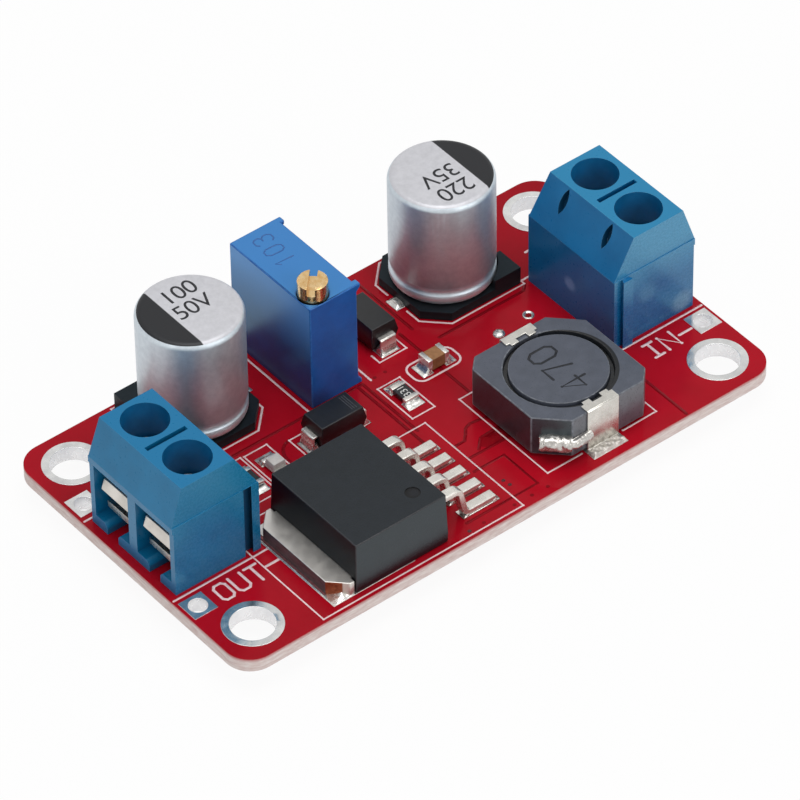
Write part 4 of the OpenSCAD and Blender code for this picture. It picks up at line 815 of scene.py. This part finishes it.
eased("regulator_body", "regulator_mould", 0.08, [epoxy, epoxy_worn, dimple_epoxy_painted_shade, front_epoxy, left_epoxy_painted_shade],
      worn=1, choose=regulator_face, plain=by_dimple)
tab_tin = surface("tab_tin", "#cbc7c2", "#e4e0da", 2.6, (0.3, 0.4), 0.7, 0.004, metal=0.85)
tab_side = surface("tab_sheared_side", "#4c4448", "#6a6062", 0.8, (0.35, 0.5), 0.2, 0.01, metal=0.3,
                   stretch=(1, 1, 3))
tab_copper = surface("tab_sheared_copper", "#7a3a22", "#a4593a", 0.3, (0.35, 0.5), 0.1, 0.02, metal=0.8)
overlay(tab_copper, "#d2cdc4", beyond(tab_copper, "X", -15.42, 0.04))
eased("regulator_tab", "regulator_heat_tab", 0.08, [tab_tin, tab_copper, tab_side], choose=tab_face)
eased("regulator_leads", "regulator_legs", 0.1, [lead_tin], segments=3)

# Inductor: a pressed ferrite shield round a ferrite drum with its winding, held by a bead of dark glue in
# the ring gap, and two tinned clips that carry the wire ends down to the pads.
coil_x, coil_y, coil_top = 9.655, -7.3, 7.01
glue_shade_middle, glue_shade_reach, glue_shade_edge = (coil_x + 0.2, coil_y - 0.16, coil_top), 4.4, 0.004
ferrite = surface("ferrite", "#494e59", "#525763", 0.9, (0.26, 0.38), 0.1, 0.004, gloss=0.45)
shield_ferrite = surface("shield_ferrite", "#4a4f5a", "#545965", 0.9, (0.26, 0.38), 0.1, 0.004, gloss=0.45)
# The shield's walls take darker copies of its ferrite, darkest on the left: painted shade.
shield_side = surface("shield_side", "#24272d", "#30333a", 0.9, (0.26, 0.36), 0.1, 0.004, gloss=0.75,
                      sheen=(0.8, 1.0, 1.0))
shield_front_painted_shade = surface("shield_front_painted_shade", "#454850", "#565962", 0.9, (0.26, 0.36), 0.1, 0.004, gloss=1.0)
ferrite_worn = surface("ferrite_edge", "#4c5058", "#7c8088", 0.35, (0.4, 0.6), 0.08, 0.02)
copper = surface("winding_copper", "#8a4526", "#b8683c", 0.6, (0.25, 0.4), 0.2, 0.02, metal=1.0,
                 stretch=(1, 1, 6))
glue = surface("ring_glue", "#0c0d0f", "#17181b", 0.8, (0.2, 0.4), 0.3, 0.03)
clip_tin = surface("clip_tin", "#c6c3bc", "#dfdcd5", 1.2, (0.22, 0.3), 0.8, 0.006, metal=0.9)
shield_worn = ferrite_worn.copy()
shield_worn.name = "shield_edge"
# A dark disc about the ring gap on the shield's top, set off towards +X: partly glue spread on the rim,
# partly painted shade of the gap's inner wall.
for finish in (shield_ferrite, shield_worn):
    glue_shade = near(finish, glue_shade_middle, glue_shade_reach)
    overlay(finish, "#0d0e10", maths(finish.node_tree, "GREATER_THAN", glue_shade, glue_shade_edge))
eased("inductor_shield", "ferrite_shield", 0.09, [shield_ferrite, shield_worn, shield_side, shield_front_painted_shade],
      worn=1, choose=lambda middle, normal: 0 if normal.z > 0.5 else 2 if normal.x < -0.3 else 3)
eased("inductor_drum", "ferrite_drum", 0.06, [ferrite, ferrite_worn], worn=1)
eased("inductor_winding", "drum_winding", 0.05, [copper])
eased("inductor_glue", "ring_glue", 0.05, [glue])
eased("inductor_clips", "inductor_tags", 0.05, [clip_tin])
number_dark = surface("inductor_print", "#1d1f23", "#2a2c31", 0.4, (0.5, 0.65), 0.08, 0.002, gloss=0.3)
number_lines = lettered("470", coil_x + 1.1, coil_y - 2.65, 2.2, 1.95, turn=90, wide=0.95)
printed("inductor_number", number_lines, coil_top, 0.22, 0.006, number_dark)

# Tinned wire ends: the enamelled wire is stripped, laid round each clip's hook and dipped, so solder hangs
# on it in lumps. A round section is swept along the wire's path and pushed out by a fixed noise.
wire_rings, wire_sides, lump_grain = 44, 24, 0.45
lump_sheet, lump_keys, given = node_sheet(
    "tinned_wire_end", (("Path", "Geometry"), ("Radius", "Float"), ("Lump", "Float"), ("Grain", "Float"),
                        ("Solder", "Material")), "Wire")
path = add_node(lump_sheet, "GeometryNodeMeshToCurve", {"Mesh": given.outputs["Path"]})
path = add_node(lump_sheet, "GeometryNodeCurveSplineType", {"Curve": path}, spline_type="CATMULL_ROM")
path = add_node(lump_sheet, "GeometryNodeResampleCurve", {"Curve": path, "Count": wire_rings})
section = add_node(lump_sheet, "GeometryNodeCurvePrimitiveCircle",
                   {"Resolution": wire_sides, "Radius": given.outputs["Radius"]})
dipped = add_node(lump_sheet, "GeometryNodeCurveToMesh",
                  {"Curve": path, "Profile Curve": section, "Fill Caps": True})
spot = lump_sheet.nodes.new("GeometryNodeInputPosition")
noise = add_node(lump_sheet, "ShaderNodeTexNoise",
                 {"Vector": spot, "Scale": given.outputs["Grain"], "Detail": 2})
swell = maths(lump_sheet, "SUBTRACT", noise.outputs["Fac"], 0.5)
swell = maths(lump_sheet, "MULTIPLY", swell, given.outputs["Lump"])
outwards = lump_sheet.nodes.new("GeometryNodeInputNormal")
push = add_node(lump_sheet, "ShaderNodeVectorMath", {0: outwards, "Scale": swell}, operation="SCALE")
moved = add_node(lump_sheet, "GeometryNodeSetPosition", {"Geometry": dipped, "Offset": push})
inked = add_node(lump_sheet, "GeometryNodeSetMaterial",
                 {"Geometry": moved, "Material": given.outputs["Solder"]})
add_node(lump_sheet, "NodeGroupOutput", {"Wire": inked})


def dipped_wire(name, path, radius, lump):
    """A length of dipped wire along a path of points in mm, `radius` mm thick with lumps of `lump` mm."""
    piece = swept(name, [[v * MM for v in p] for p in path], [(i, i + 1) for i in range(len(path) - 1)],
                  lump_sheet, lump_keys, {"Radius": radius * MM, "Lump": lump * MM,
                                          "Grain": 1 / (lump_grain * MM), "Solder": solder_lump})
    smoothed(piece.data, 60)
    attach(piece, "module")


solder_lump = surface("solder_lump", "#a9a6a1", "#d8d5d0", 0.4, (0.22, 0.34), 0.3, 0.02, metal=0.85)
wire_run = [(-1.3, -5.2, 4.9), (-2.1, -5.3, 4.88), (-2.85, -5.28, 4.86), (-3.3, -4.95, 4.85)]
wire_tip = [(-3.0, -5.22, 4.86), (-3.5, -4.75, 4.86), (-4.1, -4.15, 4.86), (-4.72, -3.53, 4.86)]
for side, turned in (("front", 1), ("back", -1)):
    for part, path, radius, lump in (("run", wire_run, 0.42, 0.2), ("tip", wire_tip, 0.66, 0.4)):
        dipped_wire(f"{side}_wire_{part}",
                    [(coil_x + turned * x, coil_y + turned * y, z) for x, y, z in path], radius, lump)

# Diodes: moulded epoxy bodies with flat tinned leads bent under them. Faint bars across the top mark the
# cathode of the rectifier.
diode_epoxy = surface("diode_epoxy", "#0b0c0e", "#111215", 0.7, (0.3, 0.42), 0.08, 0.005)
diode_worn = surface("diode_edge", "#191a1d", "#25262a", 0.4, (0.42, 0.58), 0.08, 0.008)
for part in ("rectifier_diode", "input_diode"):
    eased(part + "_body", part + "_mould", 0.06, [diode_epoxy, diode_worn], worn=1)
    eased(part + "_leads", part + "_legs", 0.04, [lead_tin])
bar_grey = surface("diode_bars", "#3a3b40", "#4a4b50", 0.3, (0.5, 0.65), 0.08, 0.002, gloss=0.3)
diode_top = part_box("rectifier_diode_body")[1][2] / MM
cathode_bars = [[(x, 0.35), (x, 1.95)] for x in (-4.0, -3.8, -3.6)]
printed("cathode_bars", cathode_bars, diode_top, 0.08, 0.004, bar_grey)

# Chips: two thick-film resistors, a ceramic capacitor and the light. Each is a small fired or moulded block
# between two tinned end caps.
film_black = surface("resistor_film", "#141517", "#212226", 0.4, (0.25, 0.4), 0.08, 0.004)
chip_brown = surface("ceramic_body", "#8b5f3a", "#a97a50", 0.5, (0.4, 0.55), 0.08, 0.006, gloss=0.4)
light_base = surface("light_base", "#cfd0c8", "#e6e6e0", 0.4, (0.4, 0.55), 0.1, 0.004, gloss=0.4)
light_lens = surface("light_lens", "#c9c4c0", "#dcd6d2", 0.5, (0.15, 0.3), 0.12, 0.004)
code_white = surface("chip_code", "#c8c8c4", "#e0e0dc", 0.2, (0.5, 0.6), 0.05, 0.002, gloss=0.3)
eased("feedback_resistor_body", "feedback_chip", 0.03, [film_black])
eased("led_resistor_body", "light_chip", 0.03, [film_black])
eased("ceramic_capacitor_body", "ceramic_chip", 0.05, [chip_brown])
eased("indicator_led_base", "light_base", 0.03, [light_base])
eased("indicator_led_lens", "light_lens", 0.015, [light_lens])
for part in ("feedback_resistor", "led_resistor", "ceramic_capacitor", "indicator_led"):
    eased(part + "_ends", part + "_caps", 0.015, [lead_tin])
low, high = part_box("feedback_resistor_body")
chip_middle = [(a + b) / 2 / MM for a, b in zip(low, high)]
typed("feedback_code", [("331", chip_middle[0], chip_middle[1], 0.62)], high[2] / MM + 0.003, 90, code_white)
